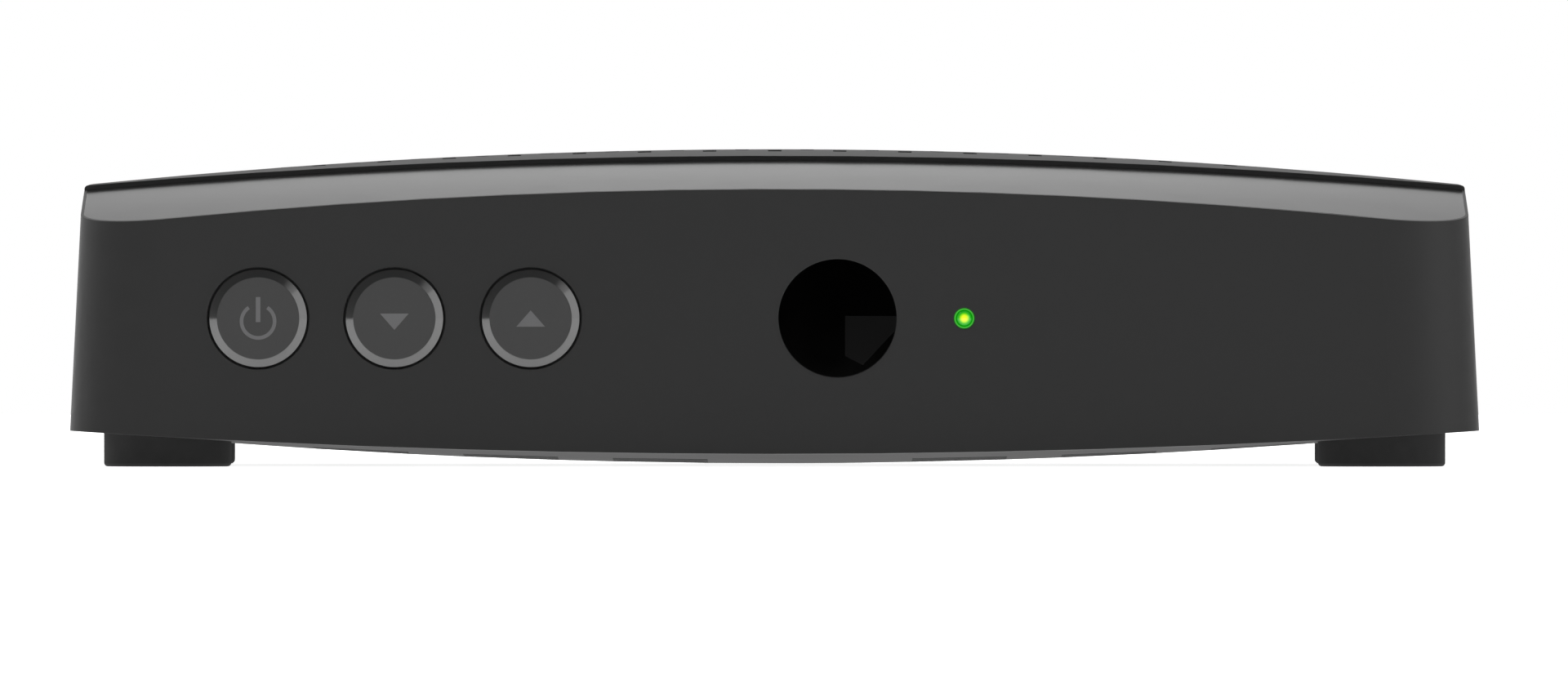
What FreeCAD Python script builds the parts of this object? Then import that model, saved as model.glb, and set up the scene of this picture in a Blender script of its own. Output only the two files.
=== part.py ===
import FreeCAD, Part

import math
import os

from FreeCAD import Vector

# A satellite television receiver: a low plastic case on four feet. The front has three push buttons, an
# infrared window and a status lamp under a glossy sloping band. The sockets are on the rear.
#
# Millimetres. +X is to the right seen from the front, the front faces -Y, and +Z is up. The origin is on
# the table, in the middle of the overall width and length.

# ---- Case ---------------------------------------------------------------------------------------------
case_width = 207.2            # across the bottom edges of the side walls
case_depth = 140.0            # front face to rear face
case_height = 47.1            # table to the highest point of the roof
side_lean = 0.05              # each side wall leans in by this much per mm of height
front_corner_width = 13.2     # a front corner is a quarter ellipse, wider than it is deep
front_corner_depth = 7.6
rear_corner_radius = 5.0
rear_corner_inner_radius = 0.5  # least radius inside a wall
wall = 2.2
fit_gap = 0.15                # round a moulding that nests in another

# Every arch has a height at the middle of the case and a drop (a rise, under the case) at its sides.
roof_bulge = 1.3              # the roof's crest stands this far above its front and rear edges
roof_crest_drop = 5.43
roof_edge_drop = 4.57
roof_edge_radius = 0.55       # rounding where the roof meets the walls
lip_step = 0.65               # the roof's front edge stands this far above the band
band_depth = 23.0             # band, front to back
band_rise = 4.45              # band's climb, front to back, at the middle
band_front_drop = 5.85
band_bulge = 0.2              # the band stands this far above a straight slope, half way back
band_rim = 0.45               # edge of the front panel left round the band
band_thickness = 1.2
band_shelf = 1.4              # wall of the front panel under the band
table_clearance = 0.25        # table to the lowest point of the belly
belly_bulge = 1.65            # the belly's front and rear edges are this far above its lowest point
belly_crest_rise = 4.98
belly_edge_rise = 3.38
floor_thickness = 2.0
floor_rim = 1.6               # thickness of the bottom cover's upstanding rim
floor_rim_height = 2.9        # rim above the floor's inner face
shadow_gap = 0.3              # groove at the joint of front panel and top cover
shadow_gap_depth = 0.7
tongue_length = 3.0           # tongue of the front panel inside the top cover
tongue_thickness = 1.2
tongue_root_overlap = 0.5     # tongue inside the wall that carries it
merge = 0.5                   # how far a post or peg runs into the wall that it stands on

# ---- Vents --------------------------------------------------------------------------------------------
roof_slot_width = 2.0
roof_slot_length = 8.6
roof_slot_pitch = 9.66        # along a row; the next row is shifted by half of it
roof_row_pitch = 10.6
roof_rows = 7
roof_row_slots = 15           # a shifted row has one more
floor_slot_length = 14.0
floor_slot_width = 2.8
floor_slot_pitch = 22.1
floor_row_pitch = 5.4
floor_rows = 16
floor_first_row = 25.2        # front face to the middle of the first row
floor_slots_shift = 5.2       # the middle column of slots, left out, is this far right of the middle
floor_slots_each_side = 3

# ---- Feet ---------------------------------------------------------------------------------------------
foot_diameter = 18.8
front_foot_spread = 89.4      # axis of a front foot to the middle of the case
rear_foot_spread = 90.8
foot_inset = 16.0             # foot axis to the front or rear face
foot_seat_z = 6.0             # bottom of the socket that a foot is glued into
foot_seat_wall = 1.3
foot_edge_width = 0.5         # softened lower edge of a foot
foot_edge_height = 0.6

# ---- Front controls -----------------------------------------------------------------------------------
control_z = 21.8              # height of the buttons, window and lamp
button_pitch = 20.0
first_button_x = -75.8
cap_diameter = 14.3
cap_clearance = 0.35          # round a cap in its hole
cap_proud = 0.9
cap_chamfer = 1.15            # chamfer's width seen from the front
cap_chamfer_depth = 0.6
cap_flange_diameter = 16.6
cap_flange_gap = 0.2          # behind the front wall
cap_flange_thickness = 1.2
stem_diameter = 5.0
stem_clearance = 0.2
button_travel = 0.5
travel_reserve = 0.3          # room left behind a moving face at full travel
guide_thickness = 1.2
guide_border = 1.2            # guide plate past the caps' flanges
guide_half_height = 5.2
guide_peg_diameter = 2.0
guide_peg_rise = 3.4
guide_peg_head = 0.6
guide_peg_shoulder_diameter = 2.8
plunger_diameter = 3.5
plunger_clearance = 0.1
plunger_reach = 1.9           # out of the switch
plunger_seat = 1.0            # inside the switch
switch_size = 6.0
switch_depth = 3.5
window_diameter = 17.4
window_x = 9.24
window_flange_diameter = 20.4
window_flange_thickness = 1.0
lamp_diameter = 3.0
lamp_x = 27.84
lamp_proud = 0.4
lamp_length = 5.3
lamp_flange_diameter = 3.8
lamp_flange_thickness = 1.0
lamp_clearance = 0.1
lamp_holder_diameter = 5.0
receiver_width = 5.2
receiver_height = 7.0
receiver_depth = 3.0
receiver_lens_radius = 2.2
receiver_lens_sink = 0.3      # centre of the lens inside the receiver's body

# ---- Boards -------------------------------------------------------------------------------------------
board_thickness = 1.6
board_half_width = 88.0
board_z = 9.0                 # underside of the main board
board_front_gap = 2.0         # front board to main board
board_rear_gap = 1.0          # main board to rear panel
board_boss_diameter = 6.5
boss_side_margin = 12.0       # boss axis to the side edge of the board
boss_front_margin = 5.0
boss_rear_margin = 20.0
front_board_right = 42.0
front_board_left = -88.0
front_board_low = 12.5
front_board_high = 33.0
post_diameter = 5.0
post_high_z = 30.3
window_post_offset = 27.0     # post to the left of the window
lamp_post_offset = 9.0        # post to the right of the lamp
pilot_diameter = 2.4
screw_diameter = 2.8
screw_head_diameter = 5.4
screw_head_height = 1.8
screw_crown_diameter = 3.9    # flat top of a rounded head
screw_rim_height = 0.8        # upright rim of a rounded head
screw_head_clearance = 0.3    # round a screw head in its recess
screw_bite = 6.0              # length of a cover screw inside its tower
board_screw_bite = 4.4        # length of a board screw inside its boss or post

# ---- Rear sockets -------------------------------------------------------------------------------------
rear_sheet = 1.2              # thickness of the rear panel
rear_opening_half = 92.0
rear_opening_low = 8.6
rear_opening_high = 37.4
rear_sheet_overlap = 1.6      # rear panel behind the edges of its opening
socket_clearance = 0.25       # round a socket in the rear panel
socket_proud = 0.9            # sockets stand this far out of the rear panel
lnb_x = 78.0
loop_x = 56.0
scart_x = 19.0
hdmi_x = -19.0
audio_x = -35.0
ethernet_x = -51.5
usb_x = -68.5
power_x = -82.5
aerial_z = 24.0
barrel_diameter = 9.4         # 3/8 inch aerial socket, without its thread
barrel_bore = 6.6
barrel_reach = 9.0            # beyond the rear face of the case
barrel_relief_diameter = 8.4  # groove between the nut and the thread
barrel_relief_width = 0.6
barrel_flange_diameter = 13.0
barrel_flange_thickness = 1.0
barrel_lead = 0.5             # chamfer at the barrel's end
core_setback = 0.8            # insulator below the barrel's end
core_funnel_width = 0.8
core_funnel_depth = 0.6
contact_bore = 1.3
nut_across_flats = 11.0
nut_thickness = 2.0
tuner_width = 44.0
tuner_depth = 30.0
tuner_height = 19.0
tuner_sheet = 0.6
scart_width = 50.0
scart_height = 15.6
scart_depth = 17.0
scart_mouth_width = 46.4
scart_mouth_height = 11.6
scart_mouth_depth = 9.0
scart_mouth_slant = 5.0
scart_island_width = 39.6
scart_island_height = 5.2
scart_island_setback = 1.6
scart_slot_pitch = 3.81
scart_slot_width = 1.1
scart_slot_height = 1.5
scart_slot_depth = 3.0
scart_slots_per_row = 10
hdmi_width = 15.2
hdmi_height = 6.0
hdmi_depth = 12.0
hdmi_taper = 1.6
shell_sheet = 0.4
hdmi_tongue_width = 11.0
hdmi_tongue_height = 1.0
hdmi_tongue_rise = 3.48       # board to the middle of the tongue
tongue_setback = 1.2
usb_width = 13.2
usb_height = 5.8
usb_depth = 14.0
usb_tongue_width = 10.6
usb_tongue_height = 1.8
usb_tongue_rise = 3.7
audio_width = 10.0
audio_height = 13.0
audio_depth = 11.0
audio_ring_diameter = 9.6
audio_ring_thickness = 0.8
audio_seat = 3.0              # sleeve and core inside the block
audio_core_setback = 0.6
audio_sleeve_diameter = 8.3
audio_sleeve_reach = 7.0      # beyond the rear panel
audio_core_diameter = 6.6
audio_contact_bore = 3.3
ethernet_width = 16.2
ethernet_height = 13.6
ethernet_depth = 16.0
ethernet_mouth_width = 11.9
ethernet_mouth_height = 7.4
ethernet_mouth_depth = 12.0
ethernet_mouth_low = 3.4      # board to the bottom of the mouth
ethernet_latch_width = 6.2
ethernet_latch_height = 1.9
ethernet_contacts = 8
ethernet_contact_pitch = 1.02
ethernet_contact_width = 0.5
ethernet_contact_height = 0.4
ethernet_contact_dip = 1.8    # contact's free end below the roof of the mouth
ethernet_contact_end = 1.5    # mouth's floor to the contact's free end
ethernet_contact_bend = 7.2
ethernet_contact_root = 8.5
ethernet_latch_setback = 3.0
power_width = 9.0
power_height = 11.0
power_depth = 13.0
power_axis_rise = 6.5         # board to the axis of the plug
power_bore = 6.3
power_bore_depth = 9.5
power_pin_diameter = 2.1
power_pin_chamfer = 0.4

# ---- Smart card reader --------------------------------------------------------------------------------
reader_length = 54.0          # side wall to its inner end
reader_width = 60.0
reader_height = 6.4
reader_front = 39.6           # front face of the case to the reader
card_width = 54.0
card_slot_height = 1.8
card_slot_margin = 1.0
card_rise = 3.4               # board to the middle of the card
reader_wall_gap = 0.2
reader_end_wall = 4.0

# ---- Inner electronics --------------------------------------------------------------------------------
processor_size = 23.0
processor_height = 2.2
processor_x = -12.0
processor_back = 66.0         # front face of the case to the processor's middle
sink_size = 34.0
sink_base = 2.5
sink_height = 14.0
sink_fins = 8
sink_fin_thickness = 1.4
memory_length = 13.0
memory_width = 8.0
memory_height = 1.1
memory_gap = 4.0
flash_length = 18.4
flash_width = 12.0
flash_height = 1.1
crystal_length = 11.0
crystal_width = 4.6
crystal_height = 3.6
capacitor_diameter = 8.0
capacitor_height = 11.5
capacitor_edge = 0.5
capacitor_pitch = 12.0
capacitors_in_row = 3
coil_size = 10.0
coil_height = 5.0
link_width = 22.0
link_height = 6.0
link_depth = 5.0
link_arm_low = 2.7            # board to the arm that reaches the front board
link_arm_high = 4.8
link_arm_inset = 1.0
link_x = -30.0

# ---- Cover screws -------------------------------------------------------------------------------------
tower_x = 95.0
tower_front = 35.2            # front face of the case to the front towers
tower_rear = 106.0            # front face of the case to the rear towers
tower_diameter = 7.0
tower_socket_wall = 1.0       # bottom cover round the end of a tower
tower_seat = 4.4              # belly to the joint of tower and bottom cover
head_recess = 2.3             # belly to the seat of the screw head

# ---- Worked out from the sizes above ------------------------------------------------------------------
overall_length = cap_proud + case_depth + barrel_reach
front_y = cap_proud - overall_length / 2
rear_y = front_y + case_depth
middle_y = (front_y + rear_y) / 2
seam_y = front_y + band_depth
crest_y = (seam_y + rear_y) / 2
wall_back_y = front_y + wall
sheet_front_y = rear_y - wall - rear_sheet
sheet_back_y = rear_y - wall
socket_face_y = sheet_back_y + socket_proud
board_top_z = board_z + board_thickness
edge_z = table_clearance + belly_crest_rise
band_back_z = case_height - roof_bulge - lip_step
outside = 12.0                # how far cutting shapes run past the case
buttons = {
    "power": first_button_x,
    "channel_down": first_button_x + button_pitch,
    "channel_up": first_button_x + 2 * button_pitch,
}
flange_y = wall_back_y + cap_flange_gap
flange_back_y = flange_y + cap_flange_thickness
guide_y = flange_back_y + button_travel + travel_reserve
guide_back_y = guide_y + guide_thickness
stem_end_y = guide_back_y + travel_reserve
switch_y = stem_end_y + plunger_reach
front_board_y = switch_y + switch_depth
front_board_back_y = front_board_y + board_thickness
board_front_y = front_board_back_y + board_front_gap
board_rear_y = sheet_front_y - board_rear_gap


# ---- Simple shapes ------------------------------------------------------------------------------------
def box(low, high):
    """Box between two corners."""
    size = [b - a for a, b in zip(low, high)]
    return Part.makeBox(size[0], size[1], size[2], Vector(*low))


def block(x, y, z, width, depth, height):
    """Box centred on x and y that stands on z."""
    return box((x - width / 2, y - depth / 2, z), (x + width / 2, y + depth / 2, z + height))


def behind(x, z, y0, y1, width, height):
    """Box centred on x and z that runs from y0 to y1."""
    return box((x - width / 2, y0, z - height / 2), (x + width / 2, y1, z + height / 2))


def upright(x, y, z0, z1, diameter):
    """Cylinder with a vertical axis."""
    return Part.makeCylinder(diameter / 2, z1 - z0, Vector(x, y, z0))


def lying(x, z, y0, y1, diameter):
    """Cylinder with a front-to-back axis."""
    return Part.makeCylinder(diameter / 2, y1 - y0, Vector(x, y0, z), Vector(0, 1, 0))


def turned(x, z, profile):
    """Solid of revolution about the front-to-back axis through x and z. The profile is (radius, y) pairs."""
    points = [Vector(x + radius, y, z) for radius, y in profile]
    face = Part.Face(Part.makePolygon(points + points[:1]))
    return face.revolve(Vector(x, 0, z), Vector(0, 1, 0), 360)


def turned_upright(x, y, profile):
    """Solid of revolution about the vertical axis through x and y. The profile is (radius, z) pairs."""
    points = [Vector(x + radius, y, z) for radius, z in profile]
    face = Part.Face(Part.makePolygon(points + points[:1]))
    return face.revolve(Vector(x, y, 0), Vector(0, 0, 1), 360)


def prism(points, travel):
    """Straight-sided solid: the polygon through the points, moved along travel."""
    face = Part.Face(Part.makePolygon(points + points[:1]))
    return face.extrude(travel)


def common(*shapes):
    """What all the shapes share."""
    result = shapes[0]
    for shape in shapes[1:]:
        result = result.common(shape)
    return result


def screw_up(x, y, head_z, length):
    """Screw that points up. Its head's top is at head_z, and its shank starts there."""
    head = turned_upright(x, y, [
        (0, head_z - screw_head_height),
        (screw_crown_diameter / 2, head_z - screw_head_height),
        (screw_head_diameter / 2, head_z - screw_rim_height),
        (screw_head_diameter / 2, head_z),
        (0, head_z),
    ])
    return head.fuse(upright(x, y, head_z, head_z + length, pilot_diameter))


def screw_down(x, y, seat_z, length):
    """Screw that points down. Its head rests on seat_z."""
    screw = screw_up(x, y, 0, length)
    screw.rotate(Vector(x, y, 0), Vector(1, 0, 0), 180)
    return screw.translated(Vector(0, 0, seat_z))


# ---- Surfaces of the case -----------------------------------------------------------------------------
def quarter_ellipse(centre, first, second):
    """Quarter of an ellipse round centre, between the ends of two half axes."""
    longer, shorter = (first, second) if first.Length > second.Length else (second, first)
    ellipse = Part.Ellipse(centre + longer, centre + shorter, centre)
    return Part.ArcOfEllipse(ellipse, 0, math.pi / 2).toShape()


def plan(z, inset):
    """Plan outline of the case at height z, moved in by inset."""
    side = case_width / 2 - side_lean * (z - edge_z) - inset
    front = front_y + inset
    rear = rear_y - inset
    width = front_corner_width - inset
    depth = front_corner_depth - inset
    round_rear = max(rear_corner_radius - inset, rear_corner_inner_radius)
    edges = []
    for sign in (-1, 1):
        centre = Vector(sign * (side - width), front + depth, z)
        edges.append(quarter_ellipse(centre, Vector(sign * width, 0, 0), Vector(0, -depth, 0)))
        upper = Vector(sign * side, rear - round_rear, z)
        lower = Vector(sign * (side - round_rear), rear, z)
        slack = round_rear * (1 - math.sqrt(0.5))
        edges.append(Part.Arc(upper, Vector(sign * (side - slack), rear - slack, z), lower).toShape())
        edges.append(Part.LineSegment(Vector(sign * side, front + depth, z), upper).toShape())
    for y, radius in ((front, width), (rear, round_rear)):
        edges.append(Part.LineSegment(Vector(radius - side, y, z), Vector(side - radius, y, z)).toShape())
    return Part.Wire(Part.__sortEdges__(edges))


def plan_block(inset):
    """Tall solid with the leaning walls of the case, moved in by inset."""
    return Part.makeLoft([plan(-outside, inset), plan(case_height + outside, inset)], True, True)


def arch(y, crown, drop, level):
    """Upright section at y between an arch and a flat line at level. A negative drop makes it a sag."""
    half = case_width / 2
    reach = half + outside
    radius = (half ** 2 + drop ** 2) / (2 * abs(drop))
    fall = math.copysign(radius - math.sqrt(radius ** 2 - reach ** 2), drop)
    left = Vector(-reach, y, crown - fall)
    right = Vector(reach, y, crown - fall)
    low_left = Vector(-reach, y, level)
    low_right = Vector(reach, y, level)
    return Part.Wire([
        Part.Arc(left, Vector(0, y, crown), right).toShape(),
        Part.LineSegment(right, low_right).toShape(),
        Part.LineSegment(low_right, low_left).toShape(),
        Part.LineSegment(low_left, left).toShape(),
    ])


def under_roof(lowered):
    """Solid under the pillow-shaped roof, lowered by a wall."""
    sections = []
    for y in (seam_y - outside, crest_y, rear_y + outside):
        away = ((y - crest_y) / (rear_y - crest_y)) ** 2
        crown = case_height - roof_bulge * away - lowered
        drop = roof_crest_drop + (roof_edge_drop - roof_crest_drop) * away
        sections.append(arch(y, crown, drop, -outside))
    return Part.makeLoft(sections, True, False)


def above_belly(raised):
    """Solid above the pillow-shaped underside, raised by a wall."""
    sections = []
    for y in (front_y - outside, middle_y, rear_y + outside):
        away = ((y - middle_y) / (rear_y - middle_y)) ** 2
        crown = table_clearance + belly_bulge * away + raised
        rise = belly_crest_rise + (belly_edge_rise - belly_crest_rise) * away
        sections.append(arch(y, crown, -rise, case_height + outside))
    return Part.makeLoft(sections, True, False)


def under_band(lowered):
    """Solid under the sloping, slightly crowned band, lowered by a wall."""
    sections = []
    for y in (front_y - outside, (front_y + seam_y) / 2, seam_y + outside):
        along = (y - front_y) / band_depth
        bulge = 4 * band_bulge * along * (1 - along)
        crown = band_back_z + band_rise * (along - 1) + bulge - lowered
        drop = band_front_drop + (roof_edge_drop - band_front_drop) * along
        sections.append(arch(y, crown, drop, -outside))
    return Part.makeLoft(sections, True, False)


def between(y0, y1):
    """Slab across the case from y0 to y1."""
    reach = case_width
    return box((-reach, y0, -outside), (reach, y1, case_height + outside))


def belly_z(x, y, raised=0.0):
    """Height of the underside at x and y."""
    away = ((y - middle_y) / (rear_y - middle_y)) ** 2
    rise = belly_crest_rise + (belly_edge_rise - belly_crest_rise) * away
    half = case_width / 2
    radius = (half ** 2 + rise ** 2) / (2 * rise)
    return table_clearance + belly_bulge * away + raised + radius - math.sqrt(radius ** 2 - x ** 2)


# ---- Covers -------------------------------------------------------------------------------------------
def tower_places():
    """Plan positions of the four screw towers."""
    return [(side * tower_x, front_y + back) for side in (-1, 1) for back in (tower_front, tower_rear)]


def roof_slots():
    """Staggered rows of slots through the roof."""
    slots = []
    for row in range(roof_rows):
        y = crest_y + (row - (roof_rows - 1) / 2) * roof_row_pitch
        count = roof_row_slots + row % 2
        for place in range(count):
            x = (place - (count - 1) / 2) * roof_slot_pitch
            slots.append(block(x, y, case_height / 2, roof_slot_width, roof_slot_length, case_height))
    return Part.makeCompound(slots)


def floor_slots():
    """Rows of slots across the belly, with the middle column left out."""
    slots = []
    for row in range(floor_rows):
        y = front_y + floor_first_row + row * floor_row_pitch
        for column in range(-floor_slots_each_side, floor_slots_each_side + 1):
            x = floor_slots_shift + column * floor_slot_pitch
            if column != 0:
                slots.append(block(x, y, -outside, floor_slot_length, floor_slot_width, 2 * outside))
    return Part.makeCompound(slots)


def card_z():
    """Height of the middle of a card in the reader."""
    return board_top_z + card_rise


def card_y():
    """Middle of the card slot, front to back."""
    return front_y + reader_front + reader_width / 2


def top_cover():
    """Crowned roof with side walls and a framed opening at the rear. It ends in a thin lip at the front."""
    outer = common(plan_block(0), under_roof(0), above_belly(0), between(seam_y, rear_y + outside))
    crown_edges = [edge for edge in outer.Edges if is_roof_edge(edge)]
    outer = outer.makeFillet(roof_edge_radius, crown_edges)
    inner = common(plan_block(wall), under_roof(wall), between(seam_y - outside, rear_y))
    cover = outer.cut(inner)
    opening = box(
        (-rear_opening_half, sheet_back_y - 1, -outside),
        (rear_opening_half, rear_y + outside, rear_opening_high),
    )
    cover = cover.cut(opening).cut(roof_slots())
    card_slot = box(
        (case_width / 4, card_y() - card_width / 2 - card_slot_margin, card_z() - card_slot_height / 2),
        (case_width, card_y() + card_width / 2 + card_slot_margin, card_z() + card_slot_height / 2),
    )
    cover = cover.cut(card_slot)
    for x, y in tower_places():
        foot_z = belly_z(x, y, tower_seat)
        tower = upright(x, y, foot_z, case_height, tower_diameter).common(under_roof(wall / 2))
        hole = upright(x, y, foot_z - 1, foot_z + screw_bite + 1, pilot_diameter)
        cover = cover.fuse(tower).cut(hole)
    return cover


def is_roof_edge(edge):
    """True for the edges where the roof meets the side and rear walls."""
    box_of_edge = edge.BoundBox
    high = box_of_edge.ZMin > case_height - roof_bulge - roof_crest_drop - roof_edge_drop
    across_lip = abs(box_of_edge.YMin - seam_y) < 0.01 and abs(box_of_edge.YMax - seam_y) < 0.01
    return high and not across_lip


def bottom_cover():
    """Bellied floor that nests inside the walls, with a rim, bosses and the sockets of the feet."""
    inset = wall + fit_gap
    floor = plan_block(inset).common(above_belly(0)).cut(above_belly(floor_thickness))
    rim = plan_block(inset).cut(plan_block(inset + floor_rim)).common(above_belly(0))
    rim = rim.cut(above_belly(floor_thickness + floor_rim_height))
    rim = rim.common(between(front_y, sheet_front_y - fit_gap))
    sill = box(
        (-rear_opening_half + fit_gap, sheet_back_y, -outside),
        (rear_opening_half - fit_gap, rear_y, rear_opening_low),
    )
    sill_plate = box(
        (-rear_opening_half + fit_gap, sheet_front_y - 1, -outside),
        (rear_opening_half - fit_gap, rear_y, case_height / 2),
    )
    sill_plate = sill_plate.cut(above_belly(floor_thickness))
    cover = floor.fuse([rim, sill.fuse(sill_plate).common(above_belly(0))])
    solids = []
    for x, y in foot_places():
        solids.append(upright(x, y, 0, foot_seat_z + foot_seat_wall, foot_diameter + 2 * foot_seat_wall))
    for x, y in tower_places():
        socket_diameter = tower_diameter + 2 * tower_socket_wall
        solids.append(upright(x, y, 0, belly_z(x, y, tower_seat), socket_diameter))
    for x, y in boss_places():
        solids.append(upright(x, y, 0, board_z, board_boss_diameter))
    fillers = Part.makeCompound(solids).common(above_belly(0)).common(plan_block(inset))
    cover = cover.fuse(fillers)
    holes = [floor_slots()]
    for x, y in foot_places():
        holes.append(upright(x, y, -1, foot_seat_z, foot_diameter))
    for x, y in tower_places():
        recess_diameter = screw_head_diameter + 2 * screw_head_clearance
        holes.append(upright(x, y, -1, belly_z(x, y, head_recess), recess_diameter))
        holes.append(upright(x, y, -1, case_height / 2, screw_diameter))
    for x, y in boss_places():
        holes.append(upright(x, y, board_z - board_screw_bite, board_z + 1, pilot_diameter))
    return cover.cut(holes)


def foot_places():
    """Plan positions of the four feet."""
    rows = ((front_foot_spread, front_y + foot_inset), (rear_foot_spread, rear_y - foot_inset))
    return [(side * spread, y) for spread, y in rows for side in (-1, 1)]


def boss_places():
    """Plan positions of the bosses that carry the main board."""
    rows = (board_front_y + boss_front_margin, board_rear_y - boss_rear_margin)
    side_x = board_half_width - boss_side_margin
    return [(x, y) for x in (-side_x, 0, side_x) for y in rows]


def foot(x, y):
    """Plain round rubber foot with a softened lower edge."""
    radius = foot_diameter / 2
    return turned_upright(x, y, [
        (0, 0),
        (radius - foot_edge_width, 0),
        (radius - foot_edge_width / 3, foot_edge_height / 3),
        (radius, foot_edge_height),
        (radius, foot_seat_z),
        (0, foot_seat_z),
    ])


def front_panel():
    """Flat front with large rounded corners and short side returns, a shelf under the band and posts."""
    outer = common(plan_block(0), under_band(0), above_belly(0), between(front_y - 1, seam_y))
    hollow = common(plan_block(wall), under_band(band_thickness + band_shelf), between(front_y, seam_y + 1))
    pocket = plan_block(band_rim).cut(under_band(band_thickness)).common(between(front_y, seam_y))
    panel = outer.cut(hollow)
    groove = plan_block(-1).cut(plan_block(shadow_gap_depth)).common(between(seam_y - shadow_gap, seam_y + 1))
    panel = panel.cut(groove)
    panel = panel.fuse([tongue()] + posts()).cut(pocket)
    cap_hole = cap_diameter + 2 * cap_clearance
    holes = [lying(x, control_z, front_y - 1, flange_y, cap_hole) for x in buttons.values()]
    holes.append(lying(window_x, control_z, front_y - 1, flange_y, window_diameter))
    holes.append(lying(lamp_x, control_z, front_y - 1, flange_y, lamp_diameter + 2 * lamp_clearance))
    for x, z in post_places():
        holes.append(lying(x, z, front_board_y - board_screw_bite, front_board_y + 1, pilot_diameter))
    return panel.cut(holes)


def tongue():
    """Rim at the back of the front panel that nests inside the top cover."""
    inset = wall + fit_gap
    start_y = seam_y - tongue_length
    outer = common(plan_block(inset), under_roof(inset), between(start_y, seam_y + tongue_length))
    inner = common(plan_block(inset + tongue_thickness), under_roof(inset + tongue_thickness))
    ring = outer.cut(inner)
    root = common(plan_block(wall - tongue_root_overlap), under_band(band_thickness))
    root = root.common(between(start_y, seam_y - tongue_root_overlap)).cut(inner)
    low = belly_z(case_width / 2, seam_y, floor_thickness + floor_rim_height + 1)
    above_rim = box((-case_width, front_y, low), (case_width, rear_y, case_height + outside))
    return ring.fuse(root).common(above_rim)


def post_places():
    """Positions of the posts that carry the front board."""
    between_first = first_button_x - button_pitch / 2
    between_last = first_button_x + 1.5 * button_pitch
    return [
        (between_first, post_high_z),
        (between_last, post_high_z),
        (window_x - window_post_offset, control_z),
        (lamp_x + lamp_post_offset, control_z),
    ]


def peg_places():
    """Positions of the pegs that the button guide is staked on."""
    middles = (first_button_x + button_pitch / 2, first_button_x + 1.5 * button_pitch)
    return [(x, control_z + side * guide_peg_rise) for x in middles for side in (-1, 1)]


def posts():
    """Posts and pegs behind the front wall."""
    root_y = wall_back_y - merge
    head_y = guide_back_y + guide_peg_head
    solids = [lying(x, z, root_y, front_board_y, post_diameter) for x, z in post_places()]
    for x, z in peg_places():
        solids.append(lying(x, z, root_y, head_y, guide_peg_diameter))
        solids.append(lying(x, z, root_y, guide_y, guide_peg_shoulder_diameter))
        solids.append(lying(x, z, guide_back_y, head_y, guide_peg_shoulder_diameter))
    return solids


def front_trim_band():
    """Glossy strip let into the sloping top of the front panel."""
    strip = common(plan_block(band_rim), under_band(0), between(front_y, seam_y))
    return strip.cut(under_band(band_thickness))


# ---- Front controls -----------------------------------------------------------------------------------
def button_cap(x):
    """Round cap with a chamfered face, a flange that holds it behind the wall, and a stem."""
    radius = cap_diameter / 2
    return turned(x, control_z, [
        (0, front_y - cap_proud),
        (radius - cap_chamfer, front_y - cap_proud),
        (radius, front_y - cap_proud + cap_chamfer_depth),
        (radius, flange_y),
        (cap_flange_diameter / 2, flange_y),
        (cap_flange_diameter / 2, flange_back_y),
        (stem_diameter / 2, flange_back_y),
        (stem_diameter / 2, stem_end_y),
        (0, stem_end_y),
    ])


def button_guide():
    """Plate behind the caps, with a hole for each stem, staked on the front panel's pegs."""
    end = cap_flange_diameter / 2 + guide_border
    xs = sorted(buttons.values())
    plate = box(
        (xs[0] - end, guide_y, control_z - guide_half_height),
        (xs[-1] + end, guide_back_y, control_z + guide_half_height),
    )
    stem_hole = stem_diameter + 2 * stem_clearance
    holes = [lying(x, control_z, guide_y - 1, guide_back_y + 1, stem_hole) for x in xs]
    holes += [lying(x, z, guide_y - 1, guide_back_y + 1, guide_peg_diameter) for x, z in peg_places()]
    return plate.cut(holes)


def switch_body(x):
    """Square body of a push switch, with a blind hole for its plunger."""
    body = behind(x, control_z, switch_y, front_board_y, switch_size, switch_size)
    depth = plunger_seat + button_travel + travel_reserve
    bore = lying(x, control_z, switch_y - 1, switch_y + depth, plunger_diameter + 2 * plunger_clearance)
    return body.cut(bore)


def plunger(x):
    """Plunger of a push switch, which the stem of its button rests on."""
    return lying(x, control_z, stem_end_y, switch_y + plunger_seat, plunger_diameter)


def infrared_window():
    """Dark round window with a flange behind the wall."""
    radius = window_diameter / 2
    return turned(window_x, control_z, [
        (0, front_y),
        (radius, front_y),
        (radius, wall_back_y),
        (window_flange_diameter / 2, wall_back_y),
        (window_flange_diameter / 2, wall_back_y + window_flange_thickness),
        (0, wall_back_y + window_flange_thickness),
    ])


def status_lamp():
    """Round-nosed lamp with a flange at its back."""
    radius = lamp_diameter / 2
    tip = front_y - lamp_proud
    back = tip + lamp_length
    nose = Part.makeSphere(radius, Vector(lamp_x, tip + radius, control_z))
    barrel = lying(lamp_x, control_z, tip + radius, back, lamp_diameter)
    flange = lying(lamp_x, control_z, back - lamp_flange_thickness, back, lamp_flange_diameter)
    return nose.fuse([barrel, flange]).removeSplitter()


def lamp_holder():
    """Spacer between the lamp and the front board."""
    return lying(lamp_x, control_z, front_y - lamp_proud + lamp_length, front_board_y, lamp_holder_diameter)


def infrared_receiver():
    """Receiver module on the front board, with a round lens towards the window."""
    face = front_board_y - receiver_depth
    body = behind(window_x, control_z, face, front_board_y, receiver_width, receiver_height)
    lens = Part.makeSphere(receiver_lens_radius, Vector(window_x, face + receiver_lens_sink, control_z))
    return body.fuse(lens)


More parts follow.
